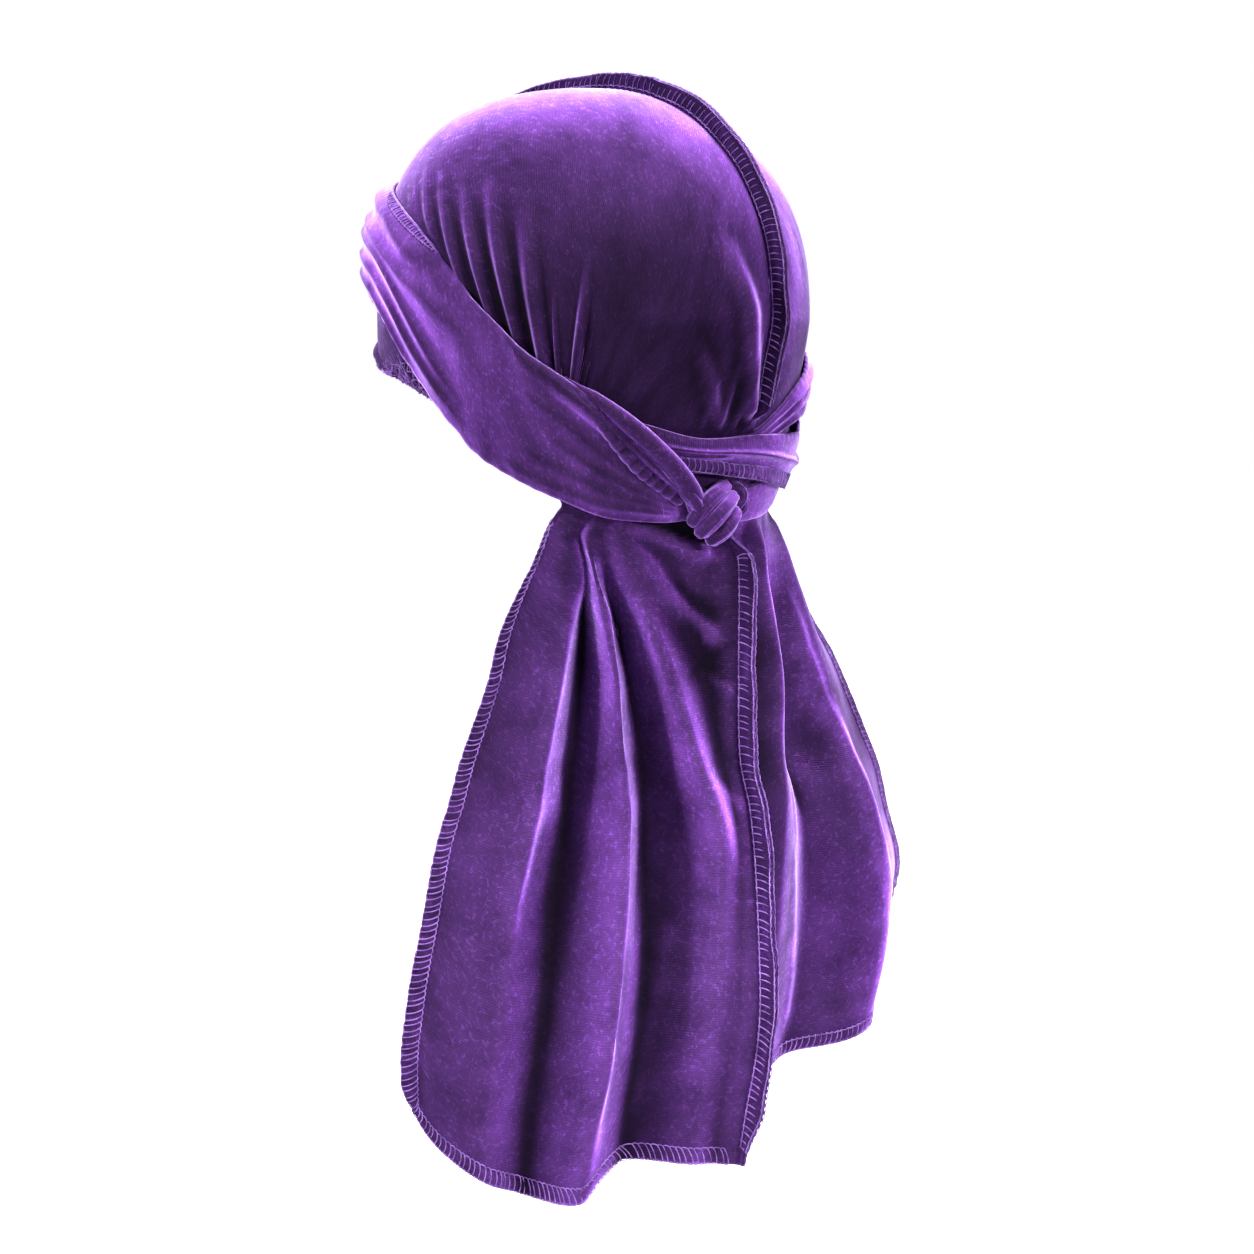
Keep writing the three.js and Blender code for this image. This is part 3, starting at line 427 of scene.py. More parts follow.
def cape_surface(h, t, side):
    """Middle of the cape's cloth; h from the top (0) to the bottom (1), t from the seam to the hem (1)."""
    cape = LEFT_CAPE if side > 0 else RIGHT_CAPE
    h, t = np.broadcast_arrays(h, t)
    z = CAPE_TOP + (along(cape["bottom"], 1, t) - CAPE_TOP) * h
    lie = np.array(cape["lie"])
    i = np.clip(np.searchsorted(lie, t, side="left") - 1, 0, len(lie) - 2)
    f = np.clip((t - lie[i]) / (lie[i + 1] - lie[i]), 0, 1)
    w = f * f * (3 - 2 * f)
    parts = {}
    for name, blend in (("out", f + (w - f) * 0.15), ("deep", w)):
        at_fold = np.stack([along(cape[name], 1 + k, z) for k in range(len(lie))])
        first = np.take_along_axis(at_fold, i[None], 0)[0]
        second = np.take_along_axis(at_fold, i[None] + 1, 0)[0]
        parts[name] = first + (second - first) * blend
    creases = LEFT_CREASES_OF_CAPE if side > 0 else RIGHT_CREASES_OF_CAPE
    raised, over = crease_lift(creases, parts["out"], z)
    parts["deep"] = parts["deep"] + raised + 0.5 * rumple(parts["out"] / 17, z / 34, 5 + side)
    parts["out"] = parts["out"] - over
    # the cloth is drawn in where it is stitched, at the seam and along the hem
    beside_seam = np.exp(-t / 0.03) * ease(0, 0.008, t) * ease(-205, -215, z)
    parts["deep"] = parts["deep"] + 0.22 * np.sin(z * 1.25 + np.sin(z * 0.31)) * beside_seam
    parts["deep"] = parts["deep"] + 0.22 * np.sin(z * 0.95 + 2 * np.sin(z * 0.17)) * ease(0.94, 0.985, t)
    c, s = math.cos(math.radians(cape["turn"])), math.sin(math.radians(cape["turn"]))
    seam_y = along(CAPE_SEAM, 1, z)
    p = np.stack([c * parts["out"] + side * s * parts["deep"],
                  seam_y - s * parts["out"] + abs(c) * parts["deep"], z], -1)
    own = np.degrees(np.abs(np.arctan2(p[..., 0], p[..., 1])))
    azimuth = (62 * t + (own - 62 * t) * ease(-171, -180, z)) * side
    hug = on_head(azimuth, np.maximum(z, -212))
    hug[..., 2] = z
    hug = hug + head_normal(hug) * (CLOTH / 2 + 0.05)
    level = -187 + 10 * ease(0, 0.2, t)
    level = level + (-171 - level) * ease(0.75, 1, t)
    free = ease(level, level - 15, z)[..., None]
    return hug + (p - hug) * free


def run_along(line):
    """Length of a line of points from its start to each of them."""
    return np.concatenate([[0], np.cumsum(np.linalg.norm(np.diff(line, axis=0), axis=1))])


def on_line(line, run, at):
    """The points of a line at places along its run."""
    return np.stack([np.interp(at, run, line[:, k]) for k in range(3)], -1)


def grid_normals(p):
    """The way out of each place on a grid of points, which is inwards on the wearer's right."""
    n = np.cross(np.gradient(p, axis=1), np.gradient(p, axis=0))
    return n / np.maximum(np.linalg.norm(n, axis=-1, keepdims=True), 1e-9)


def crest_of(p, reach):
    """How far each place stands out from the cloth around it, in mm, on a grid of points."""
    n = grid_normals(p)
    total = 0
    for axis in (0, 1):
        step = np.linalg.norm(np.diff(p, axis=axis), axis=-1).mean()
        k = max(1, int(round(reach / step)))
        size = p.shape[axis]
        index = np.arange(size)
        ahead = np.take(p, np.minimum(index + k, size - 1), axis)
        behind = np.take(p, np.maximum(index - k, 0), axis)
        total = total + ((p - (ahead + behind) / 2) * n).sum(-1)
    return total


def painted_crest_light(p, side):
    """Painted highlights on crests and painted shade in valleys, as a brightness on a grid of points."""
    fine = crest_of(p, 3.0) * side
    wide = crest_of(p, 9.0) * side
    wide_shade_levels = ease(-204, -222, p[..., 2]) + ease(-176, -150, p[..., 2])
    return np.clip(1.05 + 0.6 * np.tanh(fine * 0.8) + 0.85 * wide_shade_levels * np.tanh(wide * 0.28), 0.18, 1.95)


def cloth_object(name, points, faces, uv, painted_light):
    """A velvet object from points in mm, with their places in the cloth in m and its painted light and shade,
    a brightness for each point.
    """
    mesh = bpy.data.meshes.new(name)
    mesh.from_pydata((points / 1000).tolist(), [], faces)
    mesh.polygons.foreach_set("use_smooth", np.ones(len(mesh.polygons), bool))
    loops = np.empty(len(mesh.loops), int)
    mesh.loops.foreach_get("vertex_index", loops)
    mesh.uv_layers.new(name="cloth").data.foreach_set("uv", uv[loops].ravel())
    # painted light and shade: a brightness for each point, read by the velvet material
    mesh.attributes.new("painted_light", "FLOAT", "POINT").data.foreach_set("value", painted_light.astype(np.float32))
    mesh.materials.append(velvet)
    thing = bpy.data.objects.new(name, mesh)
    scene.collection.objects.link(thing)
    return thing


def wall_object(name, outer, inner, run, painted_light):
    """A closed cloth wall from the two faces of the cloth, on a grid whose rows lie at a run in mm."""
    rows, columns = outer.shape[:2]
    points = np.concatenate([outer.reshape(-1, 3), inner.reshape(-1, 3)])
    index = np.arange(rows * columns).reshape(rows, columns)
    quads = np.stack([index[:-1, :-1], index[:-1, 1:], index[1:, 1:], index[1:, :-1]], -1).reshape(-1, 4)
    under = rows * columns
    border = np.concatenate([index[0, :], index[1:, -1], index[-1, -2::-1], index[-2:0:-1, 0]])
    after = np.roll(border, -1)
    rim = np.stack([after, border, border + under, after + under], -1)
    faces = np.concatenate([quads, quads[:, ::-1] + under, rim])
    a, b, c, d = (points[faces[:, k]] for k in range(4))
    volume = (np.einsum("ij,ij->i", a, np.cross(b, c)) + np.einsum("ij,ij->i", a, np.cross(c, d))).sum()
    if volume < 0:
        faces = faces[:, ::-1]
    across = np.cumsum(np.linalg.norm(np.diff(outer, axis=1, prepend=outer[:, :1]), axis=-1), 1)
    uv = np.tile(np.stack([across, run[:, None] + 0 * across], -1).reshape(-1, 2) / 1000, (2, 1))
    # the inner face gets the painted light and shade reversed, bright where the outer face is painted dark
    painted_light = np.concatenate([painted_light.ravel(), 2 - painted_light.ravel()]).clip(0.06, 3)
    return cloth_object(name, points, faces.tolist(), uv, painted_light)


# deep purple velvet: dark where it faces, bright where the pile is seen edge on
velvet = bpy.data.materials.new("purple_velvet")
velvet.use_nodes = True
pile = velvet.node_tree
velvet_shader = pile.nodes["Principled BSDF"]
velvet_shader.inputs["Roughness"].default_value = 0.8
velvet_shader.inputs["Specular IOR Level"].default_value = 0.04
velvet_shader.inputs["Sheen Weight"].default_value = 0.12
velvet_shader.inputs["Sheen Roughness"].default_value = 0.25
velvet_shader.inputs["Sheen Tint"].default_value = (0.70, 0.42, 1.0, 1)
cloth_uv = add_node(pile, "ShaderNodeUVMap", {}, uv_map="cloth").outputs["UV"]
facing = add_node(pile, "ShaderNodeLayerWeight", {"Blend": 0.45})
tone = add_node(pile, "ShaderNodeValToRGB", {"Fac": facing.outputs["Facing"]})
dark_end, bright_end = tone.color_ramp.elements
dark_end.position, dark_end.color = 0.0, (0.016, 0.0055, 0.030, 1)
bright_end.position, bright_end.color = 1.0, (0.42, 0.34, 0.60, 1)
for position, colour in ((0.25, (0.027, 0.008, 0.054, 1)), (0.5, (0.076, 0.025, 0.152, 1)),
                         (0.75, (0.178, 0.088, 0.315, 1)), (0.9, (0.28, 0.18, 0.46, 1))):
    tone.color_ramp.elements.new(position).color = colour


def calculate(tree, operation, *inputs):
    """The result of a sum on sockets and numbers."""
    return add_node(tree, "ShaderNodeMath", dict(enumerate(inputs)), operation=operation).outputs[0]


def scale_colour(tree, colour, amount):
    scaled = add_node(tree, "ShaderNodeVectorMath", {0: colour, "Scale": amount}, operation="SCALE")
    return scaled.outputs["Vector"]


# patches where the pile leans another way, times the painted light and shade of each piece: painted
# highlights on crests, painted shade in valleys and hollows
nap = add_node(pile, "ShaderNodeTexNoise", {
    "Vector": cloth_uv, "Scale": 26.0, "Detail": 9.0, "Roughness": 0.72})
nap_range = add_node(pile, "ShaderNodeMapRange", {
    "Value": nap.outputs["Fac"], "From Min": 0.32, "From Max": 0.68, "To Min": 0.5, "To Max": 1.6})
painted_light_attribute = add_node(pile, "ShaderNodeAttribute", {}, attribute_name="painted_light")
brightness = calculate(pile, "MULTIPLY", nap_range.outputs["Result"], painted_light_attribute.outputs["Fac"])
pile_colour = scale_colour(pile, tone.outputs["Color"], brightness)

# short bent fibres that lie across the pile
bend = add_node(pile, "ShaderNodeTexNoise", {"Vector": cloth_uv, "Scale": 260.0, "Detail": 1.0})
bent = add_node(pile, "ShaderNodeVectorMath", {0: bend.outputs["Color"], 1: (0.006, 0.006, 0), 2: cloth_uv},
                operation="MULTIPLY_ADD")
fibre = add_node(pile, "ShaderNodeTexVoronoi", {"Vector": bent.outputs["Vector"], "Scale": 330.0},
                 feature="DISTANCE_TO_EDGE")
fibre_line = add_node(pile, "ShaderNodeMapRange", {
    "Value": fibre.outputs["Distance"], "From Min": 0.0, "From Max": 0.09, "To Min": 1.0, "To Max": 0.0})
some = add_node(pile, "ShaderNodeTexNoise", {"Vector": cloth_uv, "Scale": 420.0})
some_mask = add_node(pile, "ShaderNodeMapRange", {
    "Value": some.outputs["Fac"], "From Min": 0.46, "From Max": 0.62})
strokes = calculate(pile, "MULTIPLY", fibre_line.outputs["Result"], some_mask.outputs["Result"])
pile_colour = scale_colour(pile, pile_colour, calculate(pile, "MULTIPLY_ADD", strokes, 0.9, 0.88))

# fine ribs of the knitted ground, under the pile
RIB_PITCH = 0.0011
split = add_node(pile, "ShaderNodeSeparateXYZ", {"Vector": cloth_uv})
wobble = add_node(pile, "ShaderNodeTexNoise", {"Vector": cloth_uv, "Scale": 90.0})
waver = calculate(pile, "MULTIPLY_ADD", wobble.outputs["Fac"], 0.0025, split.outputs["Y"])
rib = calculate(pile, "SINE", calculate(pile, "MULTIPLY", waver, 2 * math.pi / RIB_PITCH))
pile_colour = scale_colour(pile, pile_colour, calculate(pile, "MULTIPLY_ADD", rib, 0.09, 1.0))
pile.links.new(pile_colour, velvet_shader.inputs["Base Color"])
bump = add_node(pile, "ShaderNodeBump", {
    "Height": calculate(pile, "MULTIPLY_ADD", rib, 0.35, strokes), "Strength": 0.35, "Distance": 0.0004})
pile.links.new(bump.outputs["Normal"], velvet_shader.inputs["Normal"])


CAP_ANGLES = np.concatenate([np.linspace(5, 30, 60, endpoint=False), np.linspace(30, 58, 20, endpoint=False),
                             np.linspace(58, 110, 104, endpoint=False), np.linspace(110, 216, 62)])
CAPE_HEIGHTS = np.linspace(0.0, 1, 176)
ACROSS = np.concatenate([[0.014, 0.019, 0.025, 0.032], np.linspace(0.04, 0.95, 84, endpoint=False),
                         np.linspace(0.95, 1, 9)])
# length of cloth along a panel for each degree of the cap, and down the cape, in mm
CAP_RUN, CAPE_RUN, TOP_OF_CAPE = 1.8, 295.0, 216 * 1.8 + 7
# the turned-up seam ply in section: place beside the seam in mm, share of its height
PLY = [(0.15, 1.0), (0.5, 1.045), (0.95, 1.04), (1.35, 0.98), (1.5, 0.86), (1.4, 0.7), (1.25, 0.5),
       (1.2, 0.3), (1.2, 0.12), (1.35, 0.0)]
# painted highlight along the cap beside the seam at the back, where a soft ridge would catch the light: seam
# angle, place across
PAINTED_SEAM_HIGHLIGHT = [[143, 0.22], [158, 0.19], [172, 0.15], [185, 0.07]]
# lip of the swag under the knot, out from the seam and level; the fold of the right half of the cape that
# gets a painted highlight, level and out from the seam
SWAG = [[0, -198], [8, -198], [18, -196], [31, -190.5], [47, -184], [58, -176]]
RIGHT_FOLD = [[-372, 113], [-344, 104], [-321, 95], [-301, 85], [-289, 81], [-267, 67], [-245, 58],
              [-212, 50]]


def painted_light_of_panel(cap, hang, t, side):
    """Painted light and shade of a panel, as a brightness, on the cap and on the cape."""
    angles, level = CAP_ANGLES, hang[:, :, 2]
    # painted highlight beside the seam at the back of the cap
    ridge = np.interp(angles, *zip(*PAINTED_SEAM_HIGHLIGHT))[:, None]
    at_the_back = (ease(128, 145, angles) * (1 - ease(184, 194, angles)))[:, None]
    seam_highlight = np.exp(-(((t - ridge) / 0.06) ** 2)) * at_the_back
    # painted shade: the cap is darker lower down and at its front
    cap_painted_light = (1 - 0.35 * ease(-40, -80, cap[:, :, 2])) * (1 + 0.9 * seam_highlight)
    cap_painted_light = cap_painted_light * (0.6 + 0.4 * ease(55, 88, angles))[:, None]
    turn = math.radians((LEFT_CAPE if side > 0 else RIGHT_CAPE)["turn"])
    from_seam = math.cos(turn) * hang[:, :, 0] - math.sin(turn) * (hang[:, :, 1] - along(CAPE_SEAM, 1, level))
    if side > 0:
        # painted shadow: the cloth is darkened behind the swag under the knot, with a painted highlight along
        # the swag's lip
        swag = np.interp(from_seam, *zip(*SWAG))
        behind = ease(0.5, 3.5, level - swag) * (1 - ease(56, 64, from_seam))
        lip_highlight = np.exp(-(((level - swag + 2.5) / 2.2) ** 2))
        lip_highlight = lip_highlight * (1 - ease(50, 60, from_seam)) * ease(2, 10, from_seam)
        cape_painted_light = 1.25 * (1 - 0.93 * behind) * (1 + 1.1 * lip_highlight)
    else:
        # painted highlight along the fold; painted shade on the flank beyond it, away from the seam near the
        # top, and beside the seam
        fold = np.interp(level, *zip(*RIGHT_FOLD))
        lit = 2.6 * np.exp(-(((from_seam - fold + 2) / 6) ** 2)) * ease(-225, -260, level)
        lit = lit * (1 - ease(-360, -385, level))
        flank = ease(4, 14, from_seam - fold) * ease(-205, -225, level) * (1 - ease(-300, -345, level))
        away = ease(0.5, 0.68, t) * ease(-176, -186, level) * (1 - ease(-300, -345, level))
        dim = (1 - ease(24, 34, from_seam)) * ease(-215, -245, level)
        dim = dim + 1.4 * (1 - ease(38, 48, from_seam)) * ease(-270, -300, level)
        cape_painted_light = 1.25 * (1 + 0.8 * lit - 0.35 * flank) * (1 - 0.45 * away)
        cape_painted_light = cape_painted_light * (1 - 0.35 * np.minimum(dim, 1.6))
    return np.concatenate([cap_painted_light, cape_painted_light])


def make_panel(name, side):
    angles, heights, t = CAP_ANGLES, CAPE_HEIGHTS, ACROSS[None, :]
    cap = cap_surface(angles[:, None] + 0 * t, t + 0 * angles[:, None], side)
    hang = cape_surface(heights[:, None] + 0 * t, t + 0 * heights[:, None], side)
    middle_face = np.concatenate([cap, hang])
    normal = grid_normals(middle_face) * side
    # the hem and the foot of the cape are turned up, which makes them thicker
    hem = ease(0.952, 0.962, t) * np.concatenate([0 * angles, 1 + 0 * heights])[:, None]
    foot = np.concatenate([0 * angles, ease(0.976, 0.982, heights)])[:, None]
    half = CLOTH / 2 + 0.5 * np.maximum(hem, foot + 0 * t)
    outer = middle_face + normal * half[..., None]
    inner = middle_face - normal * half[..., None]

    # the turned-up seam ply beside the middle plane
    a = np.radians(angles)
    seam = ray_to_head(np.stack([0 * a, -np.cos(a), np.sin(a)], -1))
    out = head_normal(seam)
    out[:, 0] = 0
    out /= np.linalg.norm(out, axis=-1, keepdims=True)
    base = np.concatenate([cap_surface(angles, 0 * angles, side), cape_surface(heights, 0 * heights, side)])
    out = np.concatenate([out, np.tile([0.0, 1.0, 0.0], (len(heights), 1))])
    z = base[len(angles):, 2]
    cape_fin = (0.2 + 8.4 * ease(-189, -200, z)) * (1 - 0.6 * ease(-440, -466, z))
    fin = np.concatenate([along(CAP_FIN, 1, angles), cape_fin])
    run = np.concatenate([angles * CAP_RUN, TOP_OF_CAPE + heights * CAPE_RUN])
    sway = 0.55 * np.sin(run / 9) * ease(2, 6, fin) + 0.3 * np.sin(run / 3.7) * ease(2, 6, fin)
    fin_outer, fin_inner = np.zeros((2, len(run), len(PLY), 3))
    for k, (x, f) in enumerate(PLY):
        up = (CLOTH / 2 + 0.1 + fin * f * (1 + 0.03 * np.sin(run * 1.9)))[:, None]
        fin_outer[:, k] = base + out * up
        fin_outer[:, k, 0] = side * x + sway * f * f
        fin_inner[:, k] = base + out * (up if k < len(PLY) - 1 else -CLOTH / 2)
        fin_inner[:, k, 0] = side * SEAM_GAP + sway * f * f
    outer = np.concatenate([fin_outer, outer], 1)
    inner = np.concatenate([fin_inner, inner], 1)

    # painted light and shade of the panel: painted highlights on crests, painted shade in valleys, behind the
    # swag and on parts of the cape
    nap = painted_light_of_panel(cap, hang, t, side) * painted_crest_light(middle_face, side)
    painted_light = np.concatenate([np.full((len(run), len(PLY)), 0.8), nap], 1)
    return wall_object(name, outer, inner, run, painted_light), outer


left_panel, left_outer = make_panel("left_panel_cloth", 1)
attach(left_panel, "root")
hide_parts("left_panel")

right_panel, right_outer = make_panel("right_panel_cloth", -1)
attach(right_panel, "root")
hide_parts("right_panel")

# ---------------------------------------------------------------------------
# The ties. Long bands of the same velvet, cut in one with the brow, that
# cross at the forehead and run back over the ears; gathered along their
# length into creases and tied at the nape.
# ---------------------------------------------------------------------------
# azimuth along the turn, upper and lower edge, distance from the head, creasing
LEFT_TIE = [
    [50, -140, -158, 4.6, 0.0], [40, -141, -162, 4.6, 0.3], [20, -148, -162, 4.6, 0.6],
    [0, -147, -165, 4.6, 0.8], [-20, -147, -170, 4.6, 0.8], [-36, -145, -171, 4.6, 0.8],
    [-60, -124, -156, 4.6, 0.8], [-90, -95, -133, 4.6, 0.8], [-120, -68, -112, 4.6, 0.8],
    [-150, -45, -92, 4.6, 0.9], [-180, -38, -82, 4.6, 1.0], [-210, -38, -82, 4.6, 1.0],
    [-233, -45, -90, 4.6, 1.0], [-249, -54, -104, 4.6, 1.0], [-262, -66, -127, 4.6, 1.0],
    [-271, -80, -144, 4.7, 0.9], [-277, -91, -155, 5.2, 0.8], [-290, -110, -166, 6.2, 0.7],
    [-303, -124, -174, 7.0, 0.7], [-314, -136, -180, 7.0, 0.9], [-327, -152, -182, 7.0, 1.0],
    [-334, -162, -183, 4.6, 0.8], [-340, -168, -183, 2.8, 0.1], [-346, -170, -183, 2.4, 0.0],
]
RIGHT_TIE = [
    [-92, -108, -122, 2.4, 0.0], [-80, -108, -121, 2.4, 0.0], [-70, -105, -115, 2.4, 0.0],
    [-60, -106, -118, 2.4, 0.6], [-45, -112, -131, 2.4, 0.8], [-30, -121, -142, 2.4, 0.8],
    [-19, -128, -144.5, 2.4, 0.7], [-8, -139, -151, 2.4, 0.0], [2, -147, -159, 2.4, 0.0],
    [20, -149, -162, 2.4, 0.0], [40, -149, -164, 2.4, 0.0], [66, -134, -158, 2.4, 0.0],
    [90, -98, -130, 2.4, 0.0], [120, -62, -88, 2.4, 0.0], [150, -48, -84, 2.4, 0.0],
    [180, -50, -89, 2.4, 0.0], [210, -58, -98, 2.4, 0.0], [240, -86, -121, 2.4, 0.0],
    [262, -116, -140, 2.4, 0.0], [280, -130, -156, 2.4, 0.0], [300, -140, -168, 2.4, 0.0],
    [326, -152, -174, 2.4, 0.0], [340, -164, -182, 2.5, 0.3], [350, -168, -184, 2.5, 0.4],
    [361, -171, -185, 2.3, 0.0],
]
# creases along each tie: height, lean, half width upwards and downwards, then
# points of the crease, azimuth and place across the width
LEFT_CREASES = [
    [2.2, 0.0, 2.2, 3.6, (-44, 0.12), (-200, 0.12), (-242, 0.12), (-250, 0.17), (-256, 0.19),
     (-266, 0.12)],
    [3.2, 0.0, 2.6, 5.0, (-44, 0.32), (-200, 0.34), (-237, 0.35), (-249, 0.38), (-258, 0.37),
     (-267, 0.31), (-282, 0.22)],
    [2.6, 0.0, 2.0, 4.0, (-44, 0.46), (-200, 0.46), (-242, 0.47), (-248, 0.49), (-260, 0.59),
     (-268, 0.68), (-276, 0.78)],
    [2.8, 0.0, 2.2, 4.0, (-44, 0.64), (-200, 0.64), (-239, 0.66), (-253, 0.73), (-260, 0.78),
     (-269, 0.83), (-276, 0.90)],
    [2.2, 0.0, 2.0, 3.4, (-44, 0.82), (-200, 0.82), (-238, 0.84), (-251, 0.93), (-262, 0.97)],
    [1.6, 0.0, 2.6, 3.4, (-290, 0.30), (-302, 0.34), (-316, 0.44), (-326, 0.50), (-340, 0.56)],
    [1.5, 0.0, 2.2, 3.0, (-296, 0.52), (-312, 0.58), (-325, 0.62), (-340, 0.64)],
    [1.6, 0.0, 2.2, 3.0, (-290, 0.72), (-306, 0.74), (-322, 0.74), (-340, 0.72)],
    [1.5, 0.0, 2.0, 2.6, (-284, 0.90), (-300, 0.90), (-318, 0.86), (-340, 0.80)],
    [2.6, 0.0, 1.8, 4.5, (50, 0.34), (30, 0.34), (10, 0.33), (-33, 0.52), (-44, 0.52)],
    [1.4, 0.0, 1.8, 3.5, (34, 0.54), (20, 0.50), (8, 0.46)],
    [1.8, 0.0, 2.0, 3.5, (50, 0.97), (20, 0.97), (-33, 0.98)],
    [4.6, 0.0, 2.6, 5.4, (-284, 0.02), (-300, 0.05), (-312, 0.10), (-324, 0.16), (-334, 0.24),
     (-344, 0.36)],
    [-1.6, 0.0, 2.2, 2.2, (-296, 0.19), (-310, 0.25), (-322, 0.34), (-334, 0.46)],
]
RIGHT_CREASES = [
    [2.2, 0.0, 3.0, 3.6, (-92, 0.2), (-30, 0.2), (60, 0.22), (180, 0.2), (361, 0.2)],
    [2.6, 0.0, 3.0, 3.6, (-92, 0.52), (-30, 0.5), (60, 0.5), (180, 0.52), (361, 0.5)],
    [2.2, 0.0, 3.0, 3.6, (-92, 0.82), (-30, 0.82), (60, 0.8), (180, 0.82), (361, 0.82)],
]


# a degree of the turn and the width of a tie, in mm
DEGREE, TIE_WIDTH = 1.6, 42


def make_tie(name, table, creases, stops, columns):
    a, w = stops[:, None], np.linspace(0, 1, columns)[None, :]
    upper, lower, lift, amount = (along(table, k, a) for k in (1, 2, 3, 4))
    scaled = [row[:4] + [(place * DEGREE, -at * TIE_WIDTH) for place, at in row[4:]] for row in creases]
    raised, _ = crease_lift(scaled, a * DEGREE + 0 * w, -w * TIE_WIDTH + 0 * a)
    out = raised + 1.3 * (1 - np.abs(2 * w - 1) ** 5) + 0.35 * rumple(a / 9 + 0 * w, w * 5 + 0 * a, 11)
    # the edge of the cloth is puckered where its stitching was drawn up
    out = out + 0.35 * np.sin(a * 1.9) * np.exp(-w / 0.05)
    out = out + 0.25 * np.sin(a * 1.3 + 1) * np.exp(-(1 - w) / 0.04)
    out = np.maximum(out * np.clip(amount + 0.2, 0, 1), 0)
    # the upper edge lies down against the cap at the temple
    lift = lift - 2.8 * np.exp(-((w / 0.07) ** 1.5)) * ease(-150, -180, a) * (1 - ease(-268, -280, a))
    z = upper + (lower - upper) * w
    outer = seat(a + 0 * w, z, lift + CLOTH + out)
    inner = seat(a + 0 * w, z, lift + out * 0.85)
    run = run_along(outer[:, columns // 2])
    # painted light: ties are painted brighter than the panels, and brighter still along part of the turn that
    # only the left tie reaches, with painted highlights on crests and painted shade in valleys
    lit = 1 + 0.35 * ease(-212, -235, a) * (1 - ease(-270, -288, a))
    return wall_object(name, outer, inner, run, 1.75 * lit * (0.45 + 0.55 * painted_crest_light(outer, -1))), outer


left_stops, right_stops = np.linspace(50, -346, 420), np.linspace(-92, 361, 440)
left_tie, left_tie_outer = make_tie("left_tie_cloth", LEFT_TIE, LEFT_CREASES, left_stops, 44)
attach(left_tie, "root")
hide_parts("left_tie")


def rope_object(name, ropes):
    """One object of closed ropes; each has rings of points, the size of its cloth in m and its painted light
    and shade.
    """
    points, faces, uv, painted_light = [], [], [], []
    first = 0
    for rings, width, length, pile in ropes:
        count, sides = rings.shape[:2]
        index = first + np.arange(count * sides).reshape(count, sides)
        beside = np.roll(index, -1, axis=1)
        tip = first + count * sides
        faces += np.stack([index[:-1], index[1:], beside[1:], beside[:-1]], -1).reshape(-1, 4).tolist()
        faces += [[tip, index[0, j], beside[0, j]] for j in range(sides)]
        faces += [[tip + 1, beside[-1, j], index[-1, j]] for j in range(sides)]
        points += [rings.reshape(-1, 3), rings[[0, -1]].mean(1)]
        uv.append(np.stack([np.tile(np.linspace(0, width, sides), count), np.repeat(length, sides)], -1))
        uv.append([[0, 0], [0, length[-1]]])
        painted_light += [(pile + np.zeros((count, sides))).ravel(), [np.max(pile)] * 2]
        first = tip + 2
    painted_light = np.concatenate(painted_light).clip(0.35, 2)
    return cloth_object(name, np.concatenate(points), faces, np.concatenate(uv), painted_light)


def ring_axes(centre, out):
    """Two directions square to a line at each of its points, the second one outwards."""
    direction = np.gradient(centre, axis=0)
    direction /= np.linalg.norm(direction, axis=1, keepdims=True)
    e1 = np.cross(direction, out)
    e1 /= np.linalg.norm(e1, axis=1, keepdims=True)
    return e1[:, None], np.cross(e1, direction)[:, None]


ROLL_RINGS, ROLL_SIDES = 90, 28


def roll(name, path, pucker):
    """A rolled edge of the tie: azimuth, level, distance from the head and radius along it; puckers in mm."""
    path = np.array(path, float)
    u = np.linspace(0, 1, ROLL_RINGS)
    at = np.linspace(0, 1, len(path))
    a, z, lift, radius = (along(np.stack([at, path[:, k]], 1), 1, u) for k in range(4))
    centre = seat(a, z, lift)
    e1, e2 = ring_axes(centre, head_normal(on_head(a, z)))
    length = run_along(centre)
    tip = np.clip((length[-1] - length) / radius, 0, 1)
    start = np.clip(length / 14, 0, 1)
    r = radius * np.sqrt(1 - (1 - tip) ** 2 + 1e-4) * (0.25 + 0.75 * start)
    v = np.linspace(0, 2 * math.pi, ROLL_SIDES, endpoint=False)[None, :]
    ripple = np.abs(np.sin(length * 0.62 + 0.8 * np.sin(length * 0.2)))[:, None] ** 0.5 - 1
    dents = pucker * ripple * (1 + np.cos(v - 1.2)) / 2
    shape = r[:, None] * (1 - 0.06 * np.abs(np.sin(1.5 * v + 0.5))) + dents * np.minimum(1, r / 2)[:, None]
    rings = centre[:, None] + e1 * (shape * np.cos(v))[..., None] + 0.9 * e2 * (shape * np.sin(v))[..., None]
    # painted light: the roll is painted brighter than the panels, with painted shade in the dents of its
    # puckers
    thing = rope_object(name, [(rings, 0.025, length / 1000, 1.25 + dents * 0.9 / max(pucker, 0.1))])
    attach(thing, "root")


roll("left_tie_rolled_edge", [
    [-302, -123, 7.4, 1.0], [-306, -127, 8.6, 1.9], [-312, -133, 9.8, 3.0], [-319, -141, 10.8, 4.0],
    [-327, -151, 11.2, 4.3], [-334, -161, 11.0, 4.5], [-339, -170, 11.0, 4.5], [-342, -178.5, 10.2, 4.0]],
     0.0)
roll("left_tie_stitched_roll", [
    [-298, -121, 7.0, 1.6], [-306, -130, 9.6, 3.0], [-313, -141, 10.8, 3.9], [-318.5, -151, 11.0, 4.1],
    [-324, -160, 10.6, 3.8], [-331, -168, 10.0, 3.2], [-336.5, -174, 9.2, 2.2]], 1.1)

right_tie, _ = make_tie("right_tie_cloth", RIGHT_TIE, RIGHT_CREASES, right_stops, 36)
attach(right_tie, "root")
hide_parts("right_tie")

